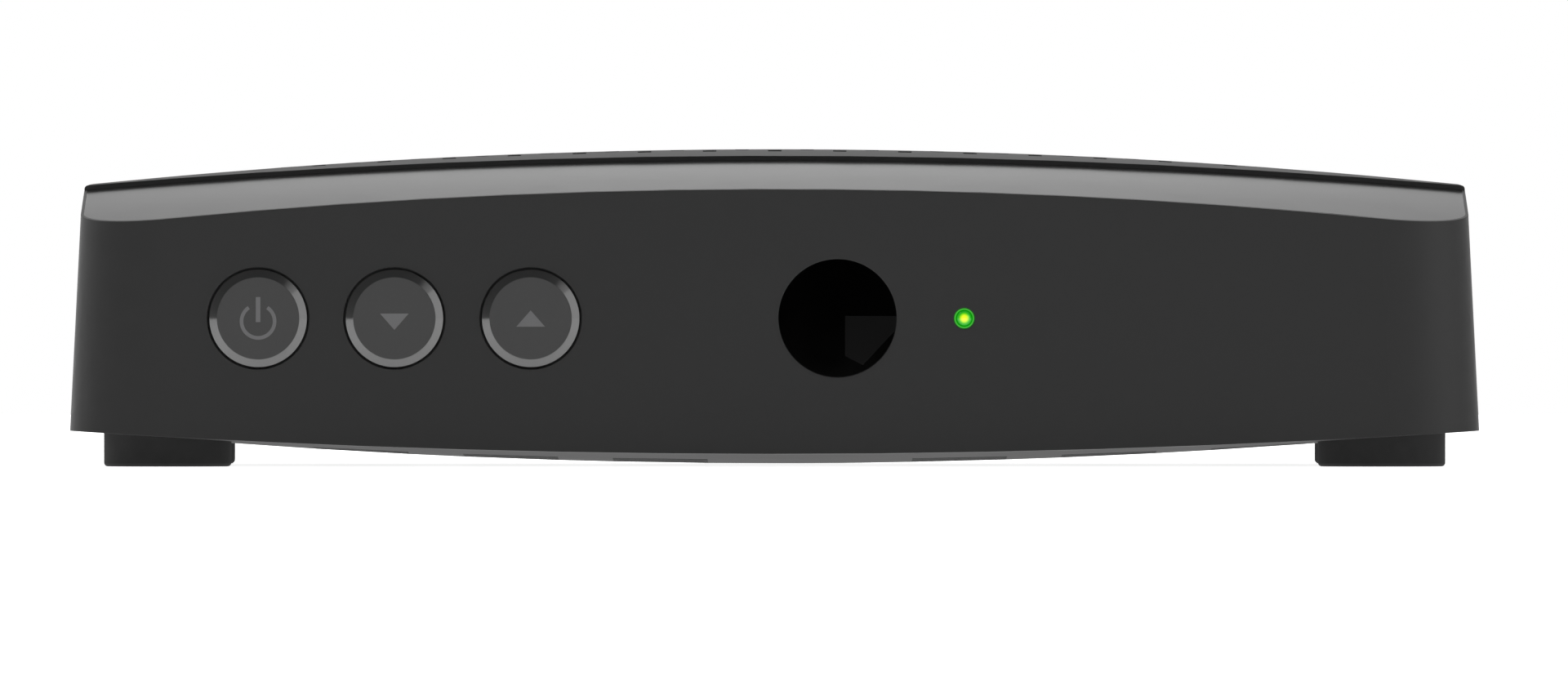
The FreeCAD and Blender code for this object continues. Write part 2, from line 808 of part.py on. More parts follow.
# ---- Boards -------------------------------------------------------------------------------------------
def main_board():
    """Main circuit board, with holes over its bosses."""
    board = box(
        (-board_half_width, board_front_y, board_z),
        (board_half_width, board_rear_y, board_top_z),
    )
    return board.cut([upright(x, y, board_z - 1, board_top_z + 1, screw_diameter) for x, y in boss_places()])


def front_board():
    """Circuit board that stands behind the front panel."""
    board = box(
        (front_board_left, front_board_y, front_board_low),
        (front_board_right, front_board_back_y, front_board_high),
    )
    holes = [lying(x, z, front_board_y - 1, front_board_back_y + 1, screw_diameter) for x, z in post_places()]
    return board.cut(holes)


def board_screws():
    """Screws that hold the main board on its bosses."""
    length = board_thickness + board_screw_bite
    return [screw_down(x, y, board_top_z, length) for x, y in boss_places()]


def front_board_screws():
    """Screws that hold the front board on its posts."""
    screws = []
    for x, z in post_places():
        head = lying(x, z, front_board_back_y, front_board_back_y + screw_head_height, screw_head_diameter)
        shank = lying(x, z, front_board_y - board_screw_bite, front_board_back_y, pilot_diameter)
        screws.append(head.fuse(shank))
    return screws


def cover_screws():
    """Screws that draw the top cover down on the bottom cover."""
    screws = []
    for x, y in tower_places():
        length = tower_seat - head_recess + screw_bite
        screws.append(screw_up(x, y, belly_z(x, y, head_recess), length))
    return screws


# ---- Rear panel and sockets ---------------------------------------------------------------------------
def d_shape(x, z, y, width, height, taper):
    """Flat corner points of an upright shape whose lower corners are cut by a taper."""
    low = z - height / 2
    high = z + height / 2
    return [
        Vector(x - width / 2 + taper, y, low),
        Vector(x + width / 2 - taper, y, low),
        Vector(x + width / 2, y, low + taper),
        Vector(x + width / 2, y, high),
        Vector(x - width / 2, y, high),
        Vector(x - width / 2, y, low + taper),
    ]


def standing(x, width, height, depth, grow=0.0):
    """Block of a socket that stands on the board and reaches the sockets' common face."""
    return box(
        (x - width / 2 - grow, socket_face_y - depth, board_top_z - grow),
        (x + width / 2 + grow, socket_face_y + grow, board_top_z + height + grow),
    )


def rear_panel():
    """Steel sheet behind the rear opening, with a hole for each socket."""
    sheet = box(
        (-rear_opening_half - rear_sheet_overlap, sheet_front_y, -outside),
        (rear_opening_half + rear_sheet_overlap, sheet_back_y, rear_opening_high + rear_sheet_overlap),
    )
    sheet = sheet.common(above_belly(floor_thickness))
    grow = socket_clearance
    holes = [
        standing(scart_x, scart_width, scart_height, scart_depth, grow),
        standing(hdmi_x, hdmi_width, hdmi_height, hdmi_depth, grow),
        standing(usb_x, usb_width, usb_height, usb_depth, grow),
        standing(audio_x, audio_width, audio_height, audio_depth, grow),
        standing(ethernet_x, ethernet_width, ethernet_height, ethernet_depth, grow),
        standing(power_x, power_width, power_height, power_depth, grow),
    ]
    for x in (lnb_x, loop_x):
        holes.append(lying(x, aerial_z, sheet_front_y - 1, sheet_back_y + 1, barrel_diameter + 2 * grow))
    return sheet.cut(holes)


def aerial_socket(x):
    """Screw socket of an aerial lead: a barrel with a flange against the inside of the rear panel."""
    tip = rear_y + barrel_reach
    root = sheet_front_y - barrel_flange_thickness
    nut_end = sheet_back_y + nut_thickness
    return turned(x, aerial_z, [
        (barrel_bore / 2, root),
        (barrel_flange_diameter / 2, root),
        (barrel_flange_diameter / 2, sheet_front_y),
        (barrel_diameter / 2, sheet_front_y),
        (barrel_diameter / 2, nut_end),
        (barrel_relief_diameter / 2, nut_end),
        (barrel_relief_diameter / 2, nut_end + barrel_relief_width),
        (barrel_diameter / 2, nut_end + barrel_relief_width),
        (barrel_diameter / 2, tip - barrel_lead),
        (barrel_diameter / 2 - barrel_lead, tip),
        (barrel_bore / 2, tip),
    ])


def aerial_core(x):
    """White insulator in an aerial socket, with a hole for the lead's centre wire."""
    root = sheet_front_y - barrel_flange_thickness
    tip = rear_y + barrel_reach - core_setback
    return turned(x, aerial_z, [
        (contact_bore / 2, root),
        (barrel_bore / 2, root),
        (barrel_bore / 2, tip),
        (contact_bore / 2 + core_funnel_width, tip),
        (contact_bore / 2, tip - core_funnel_depth),
    ])


def socket_nuts():
    """Hexagonal nuts that clamp the aerial sockets to the rear panel."""
    nuts = []
    corner = nut_across_flats / math.sqrt(3)
    nut_end = sheet_back_y + nut_thickness
    for x in (lnb_x, loop_x):
        points = []
        for side in range(6):
            angle = math.radians(60 * side + 30)
            across = corner * math.sin(angle)
            points.append(Vector(x + across, sheet_back_y, aerial_z + corner * math.cos(angle)))
        nut = prism(points, Vector(0, nut_thickness, 0))
        nuts.append(nut.cut(lying(x, aerial_z, sheet_back_y - 1, nut_end + 1, barrel_diameter)))
    return nuts


def tuner_can():
    """Tin-plated box over the tuner, behind the aerial sockets, open underneath."""
    x = (lnb_x + loop_x) / 2
    back = sheet_front_y - barrel_flange_thickness
    outer = box(
        (x - tuner_width / 2, back - tuner_depth, board_top_z),
        (x + tuner_width / 2, back, board_top_z + tuner_height),
    )
    inner = box(
        (x - tuner_width / 2 + tuner_sheet, back - tuner_depth + tuner_sheet, board_top_z - 1),
        (x + tuner_width / 2 - tuner_sheet, back - tuner_sheet, board_top_z + tuner_height - tuner_sheet),
    )
    return outer.cut(inner)


def scart_socket():
    """21-pole socket: a block with a slanted mouth round an island with two rows of slots."""
    body = standing(scart_x, scart_width, scart_height, scart_depth)
    z = board_top_z + scart_height / 2
    half = scart_mouth_width / 2
    high = z + scart_mouth_height / 2
    low = z - scart_mouth_height / 2
    floor_y = socket_face_y - scart_mouth_depth
    mouth = prism([
        Vector(scart_x - half, floor_y, high),
        Vector(scart_x + half, floor_y, high),
        Vector(scart_x + half, floor_y, low + scart_mouth_slant),
        Vector(scart_x + half - scart_mouth_slant, floor_y, low),
        Vector(scart_x - half, floor_y, low),
    ], Vector(0, scart_mouth_depth + 1, 0))
    body = body.cut(mouth)
    face_y = socket_face_y - scart_island_setback
    island = behind(scart_x, z, floor_y - merge, face_y, scart_island_width, scart_island_height)
    body = body.fuse(island)
    slots = []
    start_y = face_y - scart_slot_depth
    for row in (-1, 1):
        for place in range(scart_slots_per_row):
            x = scart_x + (place - (scart_slots_per_row - 1) / 2 + row / 4) * scart_slot_pitch
            slot_z = z + row * scart_island_height / 4
            slots.append(behind(x, slot_z, start_y, face_y + 1, scart_slot_width, scart_slot_height))
    return body.cut(slots)


def hdmi_shell():
    """Sheet-metal shell of the picture and sound socket, with cut lower corners."""
    z = board_top_z + hdmi_height / 2
    start = socket_face_y - hdmi_depth
    length = Vector(0, hdmi_depth, 0)
    outer = prism(d_shape(hdmi_x, z, start, hdmi_width, hdmi_height, hdmi_taper), length)
    width = hdmi_width - 2 * shell_sheet
    height = hdmi_height - 2 * shell_sheet
    inner = prism(d_shape(hdmi_x, z, start + shell_sheet, width, height, hdmi_taper), length)
    return outer.cut(inner)


def hdmi_tongue():
    """Contact tongue inside the shell."""
    start = socket_face_y - hdmi_depth + shell_sheet
    z = board_top_z + hdmi_tongue_rise
    return behind(hdmi_x, z, start, socket_face_y - tongue_setback, hdmi_tongue_width, hdmi_tongue_height)


def usb_shell():
    """Sheet-metal shell of the memory-stick socket."""
    z = board_top_z + usb_height / 2
    start = socket_face_y - usb_depth
    outer = behind(usb_x, z, start, socket_face_y, usb_width, usb_height)
    width = usb_width - 2 * shell_sheet
    height = usb_height - 2 * shell_sheet
    return outer.cut(behind(usb_x, z, start + shell_sheet, socket_face_y + 1, width, height))


def usb_tongue():
    """Contact tongue inside the shell, in its upper half."""
    z = board_top_z + usb_tongue_rise
    start = socket_face_y - usb_depth + shell_sheet
    return behind(usb_x, z, start, socket_face_y - tongue_setback, usb_tongue_width, usb_tongue_height)


def audio_body():
    """Plastic block of the digital audio socket, with a ring round its sleeve."""
    z = board_top_z + audio_height / 2
    body = standing(audio_x, audio_width, audio_height, audio_depth)
    ring_end = socket_face_y + audio_ring_thickness
    ring = lying(audio_x, z, socket_face_y, ring_end, audio_ring_diameter)
    seat = lying(audio_x, z, socket_face_y - audio_seat, ring_end + 1, audio_sleeve_diameter)
    return body.fuse(ring).cut(seat)


def audio_sleeve():
    """Metal sleeve of the digital audio socket."""
    z = board_top_z + audio_height / 2
    tip = sheet_back_y + audio_sleeve_reach
    start = socket_face_y - audio_seat
    sleeve = lying(audio_x, z, start, tip, audio_sleeve_diameter)
    return sleeve.cut(lying(audio_x, z, start - 1, tip + 1, audio_core_diameter))


def audio_core():
    """Insulator inside the sleeve, with the hole for the plug's pin."""
    z = board_top_z + audio_height / 2
    tip = sheet_back_y + audio_sleeve_reach - audio_core_setback
    core = lying(audio_x, z, socket_face_y - audio_seat, tip, audio_core_diameter)
    return core.cut(lying(audio_x, z, socket_face_y - 1, tip + 1, audio_contact_bore))


def ethernet_socket():
    """Network socket: a block with a stepped mouth."""
    body = standing(ethernet_x, ethernet_width, ethernet_height, ethernet_depth)
    low = board_top_z + ethernet_mouth_low
    floor_y = socket_face_y - ethernet_mouth_depth
    mouth = box(
        (ethernet_x - ethernet_mouth_width / 2, floor_y, low),
        (ethernet_x + ethernet_mouth_width / 2, socket_face_y + 1, low + ethernet_mouth_height),
    )
    half = ethernet_latch_width / 2
    latch = box(
        (ethernet_x - half, floor_y + ethernet_latch_setback, low - ethernet_latch_height),
        (ethernet_x + half, socket_face_y + 1, low + 1),
    )
    return body.cut([mouth, latch])


def ethernet_pins():
    """Spring contacts in the roof of the network socket's mouth."""
    pins = []
    high = board_top_z + ethernet_mouth_low + ethernet_mouth_height
    floor_y = socket_face_y - ethernet_mouth_depth
    end_y = floor_y + ethernet_contact_end
    root_y = floor_y + ethernet_contact_root
    tip_z = high - ethernet_contact_dip
    for place in range(ethernet_contacts):
        x = ethernet_x + (place - (ethernet_contacts - 1) / 2) * ethernet_contact_pitch
        left = x - ethernet_contact_width / 2
        pins.append(prism([
            Vector(left, root_y, high),
            Vector(left, root_y, high - ethernet_contact_height),
            Vector(left, end_y, tip_z - ethernet_contact_height),
            Vector(left, end_y, tip_z),
            Vector(left, floor_y + ethernet_contact_bend, high),
        ], Vector(ethernet_contact_width, 0, 0)))
    return pins


def power_inlet():
    """Socket of the 12 V supply's plug."""
    z = board_top_z + power_axis_rise
    body = standing(power_x, power_width, power_height, power_depth)
    return body.cut(lying(power_x, z, socket_face_y - power_bore_depth, socket_face_y + 1, power_bore))


def power_pin():
    """Centre pin of the supply socket."""
    z = board_top_z + power_axis_rise
    start = socket_face_y - power_bore_depth
    tip = socket_face_y - tongue_setback
    radius = power_pin_diameter / 2
    return turned(power_x, z, [
        (0, start),
        (radius, start),
        (radius, tip - power_pin_chamfer),
        (radius - power_pin_chamfer, tip),
        (0, tip),
    ])


# ---- Smart card reader --------------------------------------------------------------------------------
def reader_edge_x():
    """Outer end of the reader, just inside the side wall."""
    lean = side_lean * (card_z() + reader_height - edge_z)
    return case_width / 2 - lean - wall - reader_wall_gap


def card_reader():
    """Frame with a slot for a smart card, open towards the side wall."""
    end = reader_edge_x()
    low_z = card_z() - card_slot_height / 2
    body = box(
        (end - reader_length, card_y() - reader_width / 2, board_top_z),
        (end, card_y() + reader_width / 2, board_top_z + reader_height),
    )
    slot = box(
        (end - reader_length + reader_end_wall, card_y() - card_width / 2, low_z),
        (end + 1, card_y() + card_width / 2, card_z() + card_slot_height / 2),
    )
    thumb = upright(end, card_y(), card_z(), card_z() + reader_height, card_width / 3)
    return body.cut([slot, thumb])


# ---- Inner electronics --------------------------------------------------------------------------------
def on_board(x, back, width, depth, height):
    """Block on the main board, placed from the front face of the case."""
    return block(x, front_y + back, board_top_z, width, depth, height)


def main_processor():
    """Square processor under the heat sink."""
    return on_board(processor_x, processor_back, processor_size, processor_size, processor_height)


def heat_sink():
    """Finned plate on the processor."""
    low = board_top_z + processor_height
    y = front_y + processor_back
    sink = block(processor_x, y, low, sink_size, sink_size, sink_base)
    pitch = (sink_size - sink_fin_thickness) / (sink_fins - 1)
    for fin in range(sink_fins):
        x = processor_x + (fin - (sink_fins - 1) / 2) * pitch
        sink = sink.fuse(block(x, y, low, sink_fin_thickness, sink_size, sink_height))
    return sink.removeSplitter()


def memory_chips():
    """Pair of memory chips beside the processor."""
    x = processor_x - sink_size / 2 - memory_gap - memory_width / 2
    shift = memory_length / 2 + memory_gap / 2
    places = (processor_back - shift, processor_back + shift)
    return [on_board(x, back, memory_width, memory_length, memory_height) for back in places]


def flash_chip():
    """Flat chip that stores the receiver's program."""
    x = processor_x - sink_size / 2 - 2 * memory_gap - memory_width - flash_width / 2
    return on_board(x, processor_back, flash_width, flash_length, flash_height)


def clock_crystal():
    """Round-ended metal can of the clock crystal."""
    x = processor_x + sink_size / 2 + memory_gap + crystal_length / 2
    middle = on_board(x, processor_back, crystal_length - crystal_width, crystal_width, crystal_height)
    y = front_y + processor_back
    top = board_top_z + crystal_height
    offset = (crystal_length - crystal_width) / 2
    ends = [upright(x + side * offset, y, board_top_z, top, crystal_width) for side in (-1, 1)]
    return middle.fuse(ends).removeSplitter()


def supply_back():
    """Front face of the case to the row of supply parts."""
    return board_rear_y - front_y - power_depth - capacitor_pitch


def supply_x(place):
    """Place of a supply part in its row, clear of the corner boss."""
    return -board_half_width + 2 * board_boss_diameter + capacitor_diameter + place * capacitor_pitch


def capacitors():
    """Row of supply capacitors with softened tops."""
    cans = []
    radius = capacitor_diameter / 2
    top = board_top_z + capacitor_height
    for place in range(capacitors_in_row):
        cans.append(turned_upright(supply_x(place), front_y + supply_back(), [
            (0, board_top_z),
            (radius, board_top_z),
            (radius, top - capacitor_edge),
            (radius - capacitor_edge, top),
            (0, top),
        ]))
    return cans


def power_coils():
    """Pair of moulded coils of the supply."""
    back = supply_back() - capacitor_pitch
    return [on_board(supply_x(place), back, coil_size, coil_size, coil_height) for place in (0, 1.5)]


def link_header():
    """Angled header between the main board and the front board."""
    half = link_width / 2
    foot_block = box(
        (link_x - half, board_front_y, board_top_z),
        (link_x + half, board_front_y + link_depth, board_top_z + link_height),
    )
    half -= link_arm_inset
    arm = box(
        (link_x - half, front_board_back_y, board_top_z + link_arm_low),
        (link_x + half, board_front_y + merge, board_top_z + link_arm_high),
    )
    return foot_block.fuse(arm).removeSplitter()


# ---- The whole receiver -------------------------------------------------------------------------------
def save(name, shape):
    """Write one part, or a group of like parts, as parts/NAME.step."""
    if isinstance(shape, list):
        shape = Part.makeCompound(shape)
    shape.exportStep(os.path.join("parts", name + ".step"))
    state = "valid" if shape.isValid() else "NOT VALID"
    print(name, state, len(shape.Solids), "solids", len(shape.Faces), "faces")


os.makedirs("parts", exist_ok=True)
save("top_cover", top_cover())
save("bottom_cover", bottom_cover())
save("front_panel", front_panel())
save("front_trim_band", front_trim_band())
foot_names = ("foot_front_left", "foot_front_right", "foot_rear_left", "foot_rear_right")
for name, (x, y) in zip(foot_names, foot_places()):
    save(name, foot(x, y))
for name, x in buttons.items():
    save(name + "_button", button_cap(x))
    save(name + "_plunger", plunger(x))
    save(name + "_switch", switch_body(x))
save("button_guide", button_guide())
save("infrared_window", infrared_window())
save("status_lamp", status_lamp())
save("lamp_holder", lamp_holder())
save("infrared_receiver", infrared_receiver())
save("main_board", main_board())
save("front_board", front_board())
save("link_header", link_header())
save("board_screws", board_screws())
save("front_board_screws", front_board_screws())
save("cover_screws", cover_screws())
save("rear_panel", rear_panel())
save("lnb_socket", aerial_socket(lnb_x))
save("loop_socket", aerial_socket(loop_x))
save("lnb_socket_core", aerial_core(lnb_x))
save("loop_socket_core", aerial_core(loop_x))
save("socket_nuts", socket_nuts())
save("tuner_can", tuner_can())
save("scart_socket", scart_socket())
save("hdmi_shell", hdmi_shell())
save("hdmi_tongue", hdmi_tongue())
save("usb_shell", usb_shell())
save("usb_tongue", usb_tongue())
save("audio_socket_body", audio_body())
save("audio_socket_sleeve", audio_sleeve())
save("audio_socket_core", audio_core())
save("ethernet_socket", ethernet_socket())
save("ethernet_pins", ethernet_pins())
save("power_inlet", power_inlet())
save("power_inlet_pin", power_pin())
save("card_reader", card_reader())
save("main_processor", main_processor())
save("heat_sink", heat_sink())
save("memory_chips", memory_chips())
save("flash_chip", flash_chip())
save("clock_crystal", clock_crystal())
save("capacitors", capacitors())
save("power_coils", power_coils())
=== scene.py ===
# %% [markdown]
# # Dressing a satellite receiver
# A satellite receiver is a flat black plastic box: two vented covers, a front panel with three push
# buttons, a round infrared window and a lamp, and a steel sheet full of sockets at the back. Its
# construction comes ready made, so this notebook only adds what a CAD model leaves out: the finish of each
# surface, and the small forms that are easier to shape as meshes than as solids.
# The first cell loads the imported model. Its pieces never move, and everything added is placed from them.

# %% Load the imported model
import math
import random

import bmesh
import bpy
from mathutils import Matrix, Vector


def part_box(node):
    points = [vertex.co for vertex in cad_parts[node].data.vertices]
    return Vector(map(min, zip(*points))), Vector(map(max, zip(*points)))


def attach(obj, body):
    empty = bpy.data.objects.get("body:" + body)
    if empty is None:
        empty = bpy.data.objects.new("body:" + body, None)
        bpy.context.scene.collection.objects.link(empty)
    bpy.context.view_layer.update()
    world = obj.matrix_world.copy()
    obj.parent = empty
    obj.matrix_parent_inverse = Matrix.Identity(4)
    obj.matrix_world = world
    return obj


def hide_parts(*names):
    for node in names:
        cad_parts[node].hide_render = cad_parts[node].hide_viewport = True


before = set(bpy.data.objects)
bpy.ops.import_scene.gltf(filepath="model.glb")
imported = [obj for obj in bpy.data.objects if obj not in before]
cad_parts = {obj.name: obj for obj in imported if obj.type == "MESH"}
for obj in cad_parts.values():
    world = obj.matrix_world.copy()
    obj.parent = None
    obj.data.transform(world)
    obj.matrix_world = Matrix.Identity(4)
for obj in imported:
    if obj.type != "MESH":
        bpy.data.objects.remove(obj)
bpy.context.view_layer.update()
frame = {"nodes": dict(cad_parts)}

MM = 0.001
nodes = frame["nodes"]


def measure(name):
    """Lowest corner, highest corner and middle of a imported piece."""
    low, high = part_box(name)
    return low, high, (low + high) / 2


# %% [markdown]
# ## The camera
# The receiver is looked at straight from the front, from so far away that its sides hardly converge. An
# orthographic camera could show that, but a very long lens does the same and still frames the object well
# when it is carried round to other sides. The picture's own width, measured where the front corners are
# rounded, and the lens give the distance.

# %% Place the camera
mm_per_pixel = 0.12
picture_width = 1920                    # pixels of the finished picture
picture_height = 829
case_middle_px = 948.5                  # column of the receiver's middle
table_px = 571.5                        # row of the table top, at the front face
corner_depth = 5 * MM                   # from the front of the panel to where a pixel is mm_per_pixel wide
lens_mm = 700.0
sensor_mm = 36.0

measured_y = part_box("front_panel")[0].y + corner_depth
view_width = picture_width * mm_per_pixel * MM
camera_distance = view_width * lens_mm / sensor_mm

camera_data = bpy.data.cameras.new("front_camera")
camera_data.lens = lens_mm
camera_data.sensor_width = sensor_mm
camera_data.clip_start = 0.1
camera_data.clip_end = 100.0
camera = bpy.data.objects.new("front_camera", camera_data)
camera.location = (
    (picture_width / 2 - case_middle_px) * mm_per_pixel * MM,
    measured_y - camera_distance,
    (table_px - picture_height / 2) * mm_per_pixel * MM,
)
camera.rotation_euler = (math.radians(90), 0, 0)
bpy.context.scene.collection.objects.link(camera)
bpy.context.scene.camera = camera
print("camera", [round(v, 4) for v in camera.location], "m")

# %% [markdown]
# ## Building materials from expressions
# A finish is a small graph of nodes. It could be wired by hand in the editor, or line by line in code, but
# both take long and hide the idea, so a few helpers do it. The first is a `Signal`, which wraps one output
# socket. Arithmetic on it adds Math nodes, so that shader maths reads like any other expression.

# %% Signal
class Signal:
    """An output socket of a graph. Arithmetic on it adds Math nodes."""

    def __init__(self, graph, socket):
        self.graph = graph
        self.socket = socket

    def maths(self, operation, first, second):
        return self.graph.node("ShaderNodeMath", {"operation": operation}, {0: first, 1: second})

    def __add__(self, other):
        return self.maths("ADD", self, other)

    def __sub__(self, other):
        return self.maths("SUBTRACT", self, other)

    def __rsub__(self, other):
        return self.maths("SUBTRACT", other, self)

    def __mul__(self, other):
        return self.maths("MULTIPLY", self, other)

    def __truediv__(self, other):
        return self.maths("DIVIDE", self, other)

    def __rtruediv__(self, other):
        return self.maths("DIVIDE", other, self)

    def __gt__(self, other):
        return self.maths("GREATER_THAN", self, other)

    def __lt__(self, other):
        return self.maths("LESS_THAN", self, other)

    __radd__ = __add__
    __rmul__ = __mul__


print("a signal understands + - * / < and >")

# %% [markdown]
# A `Graph` is a tree of nodes. Each kind of node could have a function of its own, but one `node` method can
# add them all: first a node's settings, then its sockets, each a plain value or a Signal.

# %% Graph
def open_socket(sockets, key):
    """A socket by its place or its name. A Mix node hides some of its sockets, which share their names."""
    if isinstance(key, int):
        return sockets[key]
    return next(socket for socket in sockets if socket.name == key and socket.enabled)


def set_stops(ramp, stops):
    """Gives a colour ramp its stops, each a position and a colour."""
    while len(ramp.elements) < len(stops):
        ramp.elements.new(1.0)
    for element, (position, colour) in zip(ramp.elements, stops):
        element.position = position
        element.color = colour


class Graph:
    """A tree of nodes under construction."""

    def __init__(self, tree):
        self.tree = tree
        self.tree.nodes.clear()

    def node(self, kind, settings=None, sockets=None, output=0):
        """Adds a node and returns one of its outputs."""
        made = self.tree.nodes.new(kind)
        for name, value in (settings or {}).items():
            if name == "stops":
                set_stops(made.color_ramp, value)
            else:
                setattr(made, name, value)
        for key, value in (sockets or {}).items():
            socket = open_socket(made.inputs, key)
            if isinstance(value, Signal):
                self.tree.links.new(value.socket, socket)
            else:
                socket.default_value = value
        return Signal(self, open_socket(made.outputs, output)) if made.outputs else None


print("a graph adds any kind of", Graph.node.__name__)

# %% [markdown]
# A `Finish` is the graph of one material. It starts with the place of a point on the object. Generated
# coordinates would stretch a pattern with each piece, and UV coordinates need unwrapping first, while the
# place in metres gives every pattern its real size.

# %% Finish
class Finish(Graph):
    """One material under construction."""

    def __init__(self, name):
        self.material = bpy.data.materials.new(name)
        self.material.use_nodes = True
        super().__init__(self.material.node_tree)
        self.place = self.node("ShaderNodeTexCoord", output="Object")

    def end(self, sockets):
        """Ends the graph in one Principled shader and returns the material."""
        surface = self.node("ShaderNodeBsdfPrincipled", None, sockets)
        self.node("ShaderNodeOutputMaterial", None, {"Surface": surface})
        return self.material


print("a finish is a", Finish.__base__.__name__)

# %% [markdown]
# Shaders work with linear light, while a tone is easier to name by its level on the screen, from 0 to 255.
# Two functions convert such levels, and a third makes a darker and a lighter shade of one colour, because
# no real surface is the same all over.

# %% Colours
def grey(level):
    """Linear value of a screen grey from 0 to 255, by the sRGB curve."""
    share = level / 255
    return share / 12.92 if share <= 0.04045 else ((share + 0.055) / 1.055) ** 2.4


def tint(red, green, blue):
    """Linear colour of screen levels from 0 to 255."""
    return (grey(red), grey(green), grey(blue), 1.0)


def shades(colour, spread):
    """A colour a little darker and a little lighter."""
    red, green, blue, alpha = colour
    return [(red * factor, green * factor, blue * factor, alpha) for factor in (1 - spread, 1 + spread)]


print("screen level 44 is", round(grey(44), 4), "in linear light")

# %% [markdown]
# A few patterns come back in almost every finish: a noise of a given size in millimetres, a mix of two
# colours, a bump of a given height, and an edge that looks rounded. Each is a short function that calls the
# one `node` method.

# %% Patterns
def noise(finish, size_mm, detail=2.0, stretch=(1, 1, 1)):
    """Soft blotches about size_mm across. stretch makes them longer along an axis."""
    where = finish.node(
        "ShaderNodeMapping", None, {"Vector": finish.place, "Scale": [1 / s for s in stretch]}
    )
    return finish.node(
        "ShaderNodeTexNoise", None, {"Vector": where, "Scale": 1 / (size_mm * MM), "Detail": detail}
    )


def mix(finish, share, first, second):
    """A colour between two colours."""
    return finish.node(
        "ShaderNodeMix", {"data_type": "RGBA"}, {"Factor": share, "A": first, "B": second}, "Result"
    )


def soft_edge(finish, radius_mm):
    """The normal of a surface whose edges are rounded by radius_mm."""
    return finish.node("ShaderNodeBevel", {"samples": 4}, {"Radius": radius_mm * MM})


def bump(finish, height, depth_mm, edge_mm=None):
    """A surface normal shaken by a height from 0 to 1, depth_mm deep, over edges rounded by edge_mm."""
    sockets = {"Height": height, "Distance": depth_mm * MM, "Strength": 1.0}
    if edge_mm is not None:
        sockets["Normal"] = soft_edge(finish, edge_mm)
    return finish.node("ShaderNodeBump", None, sockets)


print("patterns:", noise.__name__, mix.__name__, soft_edge.__name__, bump.__name__)

# %% [markdown]
# ## Plastics
# The housing is black ABS. Its mould is spark eroded, which leaves a grain of a third of a millimetre, and
# the grain is what keeps the black from looking like glass. Displacing the mesh would need millions of faces
# for it, so it is a bump in the shader. Longer blotches show how the plastic flowed into the mould. The same
# function makes the covers, the front panel and the small inner mouldings: they differ in tone, gloss and
# the size of the grain.

# %% Moulded plastic
flow_mm = 35.0                          # blotches from the flow of the plastic, shorter upwards
flow_stretch = (1, 1, 0.4)
flow_share = 0.7                        # of the tone's change; the rest follows the grain


def moulded(
    name, colour, roughness, grain_mm=0.3, grain_depth_mm=0.006, edge_mm=0.15, spread=0.10, gloss=0.5
):
    """A moulded surface. The grain and the flow shift its roughness by a few hundredths."""
    finish = Finish(name)
    grain = noise(finish, grain_mm, detail=3.0)
    flow = noise(finish, flow_mm, detail=2.0, stretch=flow_stretch)
    tone = flow * flow_share + grain * (1 - flow_share)
    return finish.end({
        "Base Color": mix(finish, tone, *shades(colour, spread)),
        "Roughness": roughness - 0.06 + grain * 0.07 + flow * 0.05,
        "Specular IOR Level": gloss,
        "Normal": bump(finish, grain, grain_depth_mm, edge_mm),
    })


case_plastic = moulded("case_plastic", tint(44, 44, 44), 0.62, gloss=0.35)
panel_plastic = moulded(
    "panel_plastic", tint(30, 30, 30), 0.46, grain_mm=0.22, grain_depth_mm=0.004, gloss=0.35
)
mark_print = moulded(
    "mark_print", tint(96, 96, 97), 0.45, grain_mm=0.15, grain_depth_mm=0.001, edge_mm=0.01
)
socket_black = moulded("socket_black", tint(30, 30, 31), 0.38, grain_mm=0.25, grain_depth_mm=0.003)
insulator_white = moulded(
    "insulator_white", tint(226, 224, 216), 0.35, grain_depth_mm=0.002, spread=0.03
)
audio_orange = moulded("audio_orange", tint(222, 98, 24), 0.34, grain_depth_mm=0.002, spread=0.05)
chip_black = moulded("chip_black", tint(36, 36, 38), 0.55, grain_mm=0.12, grain_depth_mm=0.004)
print("plastics:", case_plastic.name, panel_plastic.name, socket_black.name, chip_black.name)

# %% [markdown]
# The three round buttons are a shade lighter than the panel. Their caps have a polished bevel, which mirrors
# the room while the flat of the cap stays dull. The bevel is wherever the distance to the nearest button's
# axis is more than the radius of the flat, so one finish serves all three caps. Only the weight of a clear
# coat changes over the cap: the coat's own roughness is the same everywhere. The side of the cap, deeper
# than the bevel, stays dull and keeps the gap round the cap black.

# %% Button caps
def cap_centre(button):
    """Middle of the front of a button's cap."""
    low, _, middle = measure(button)
    return Vector((middle.x, low.y, middle.z))


button_names = ("power_button", "channel_down_button", "channel_up_button")
flat_radius = 6.05 * MM
bevel_depth = 0.62 * MM


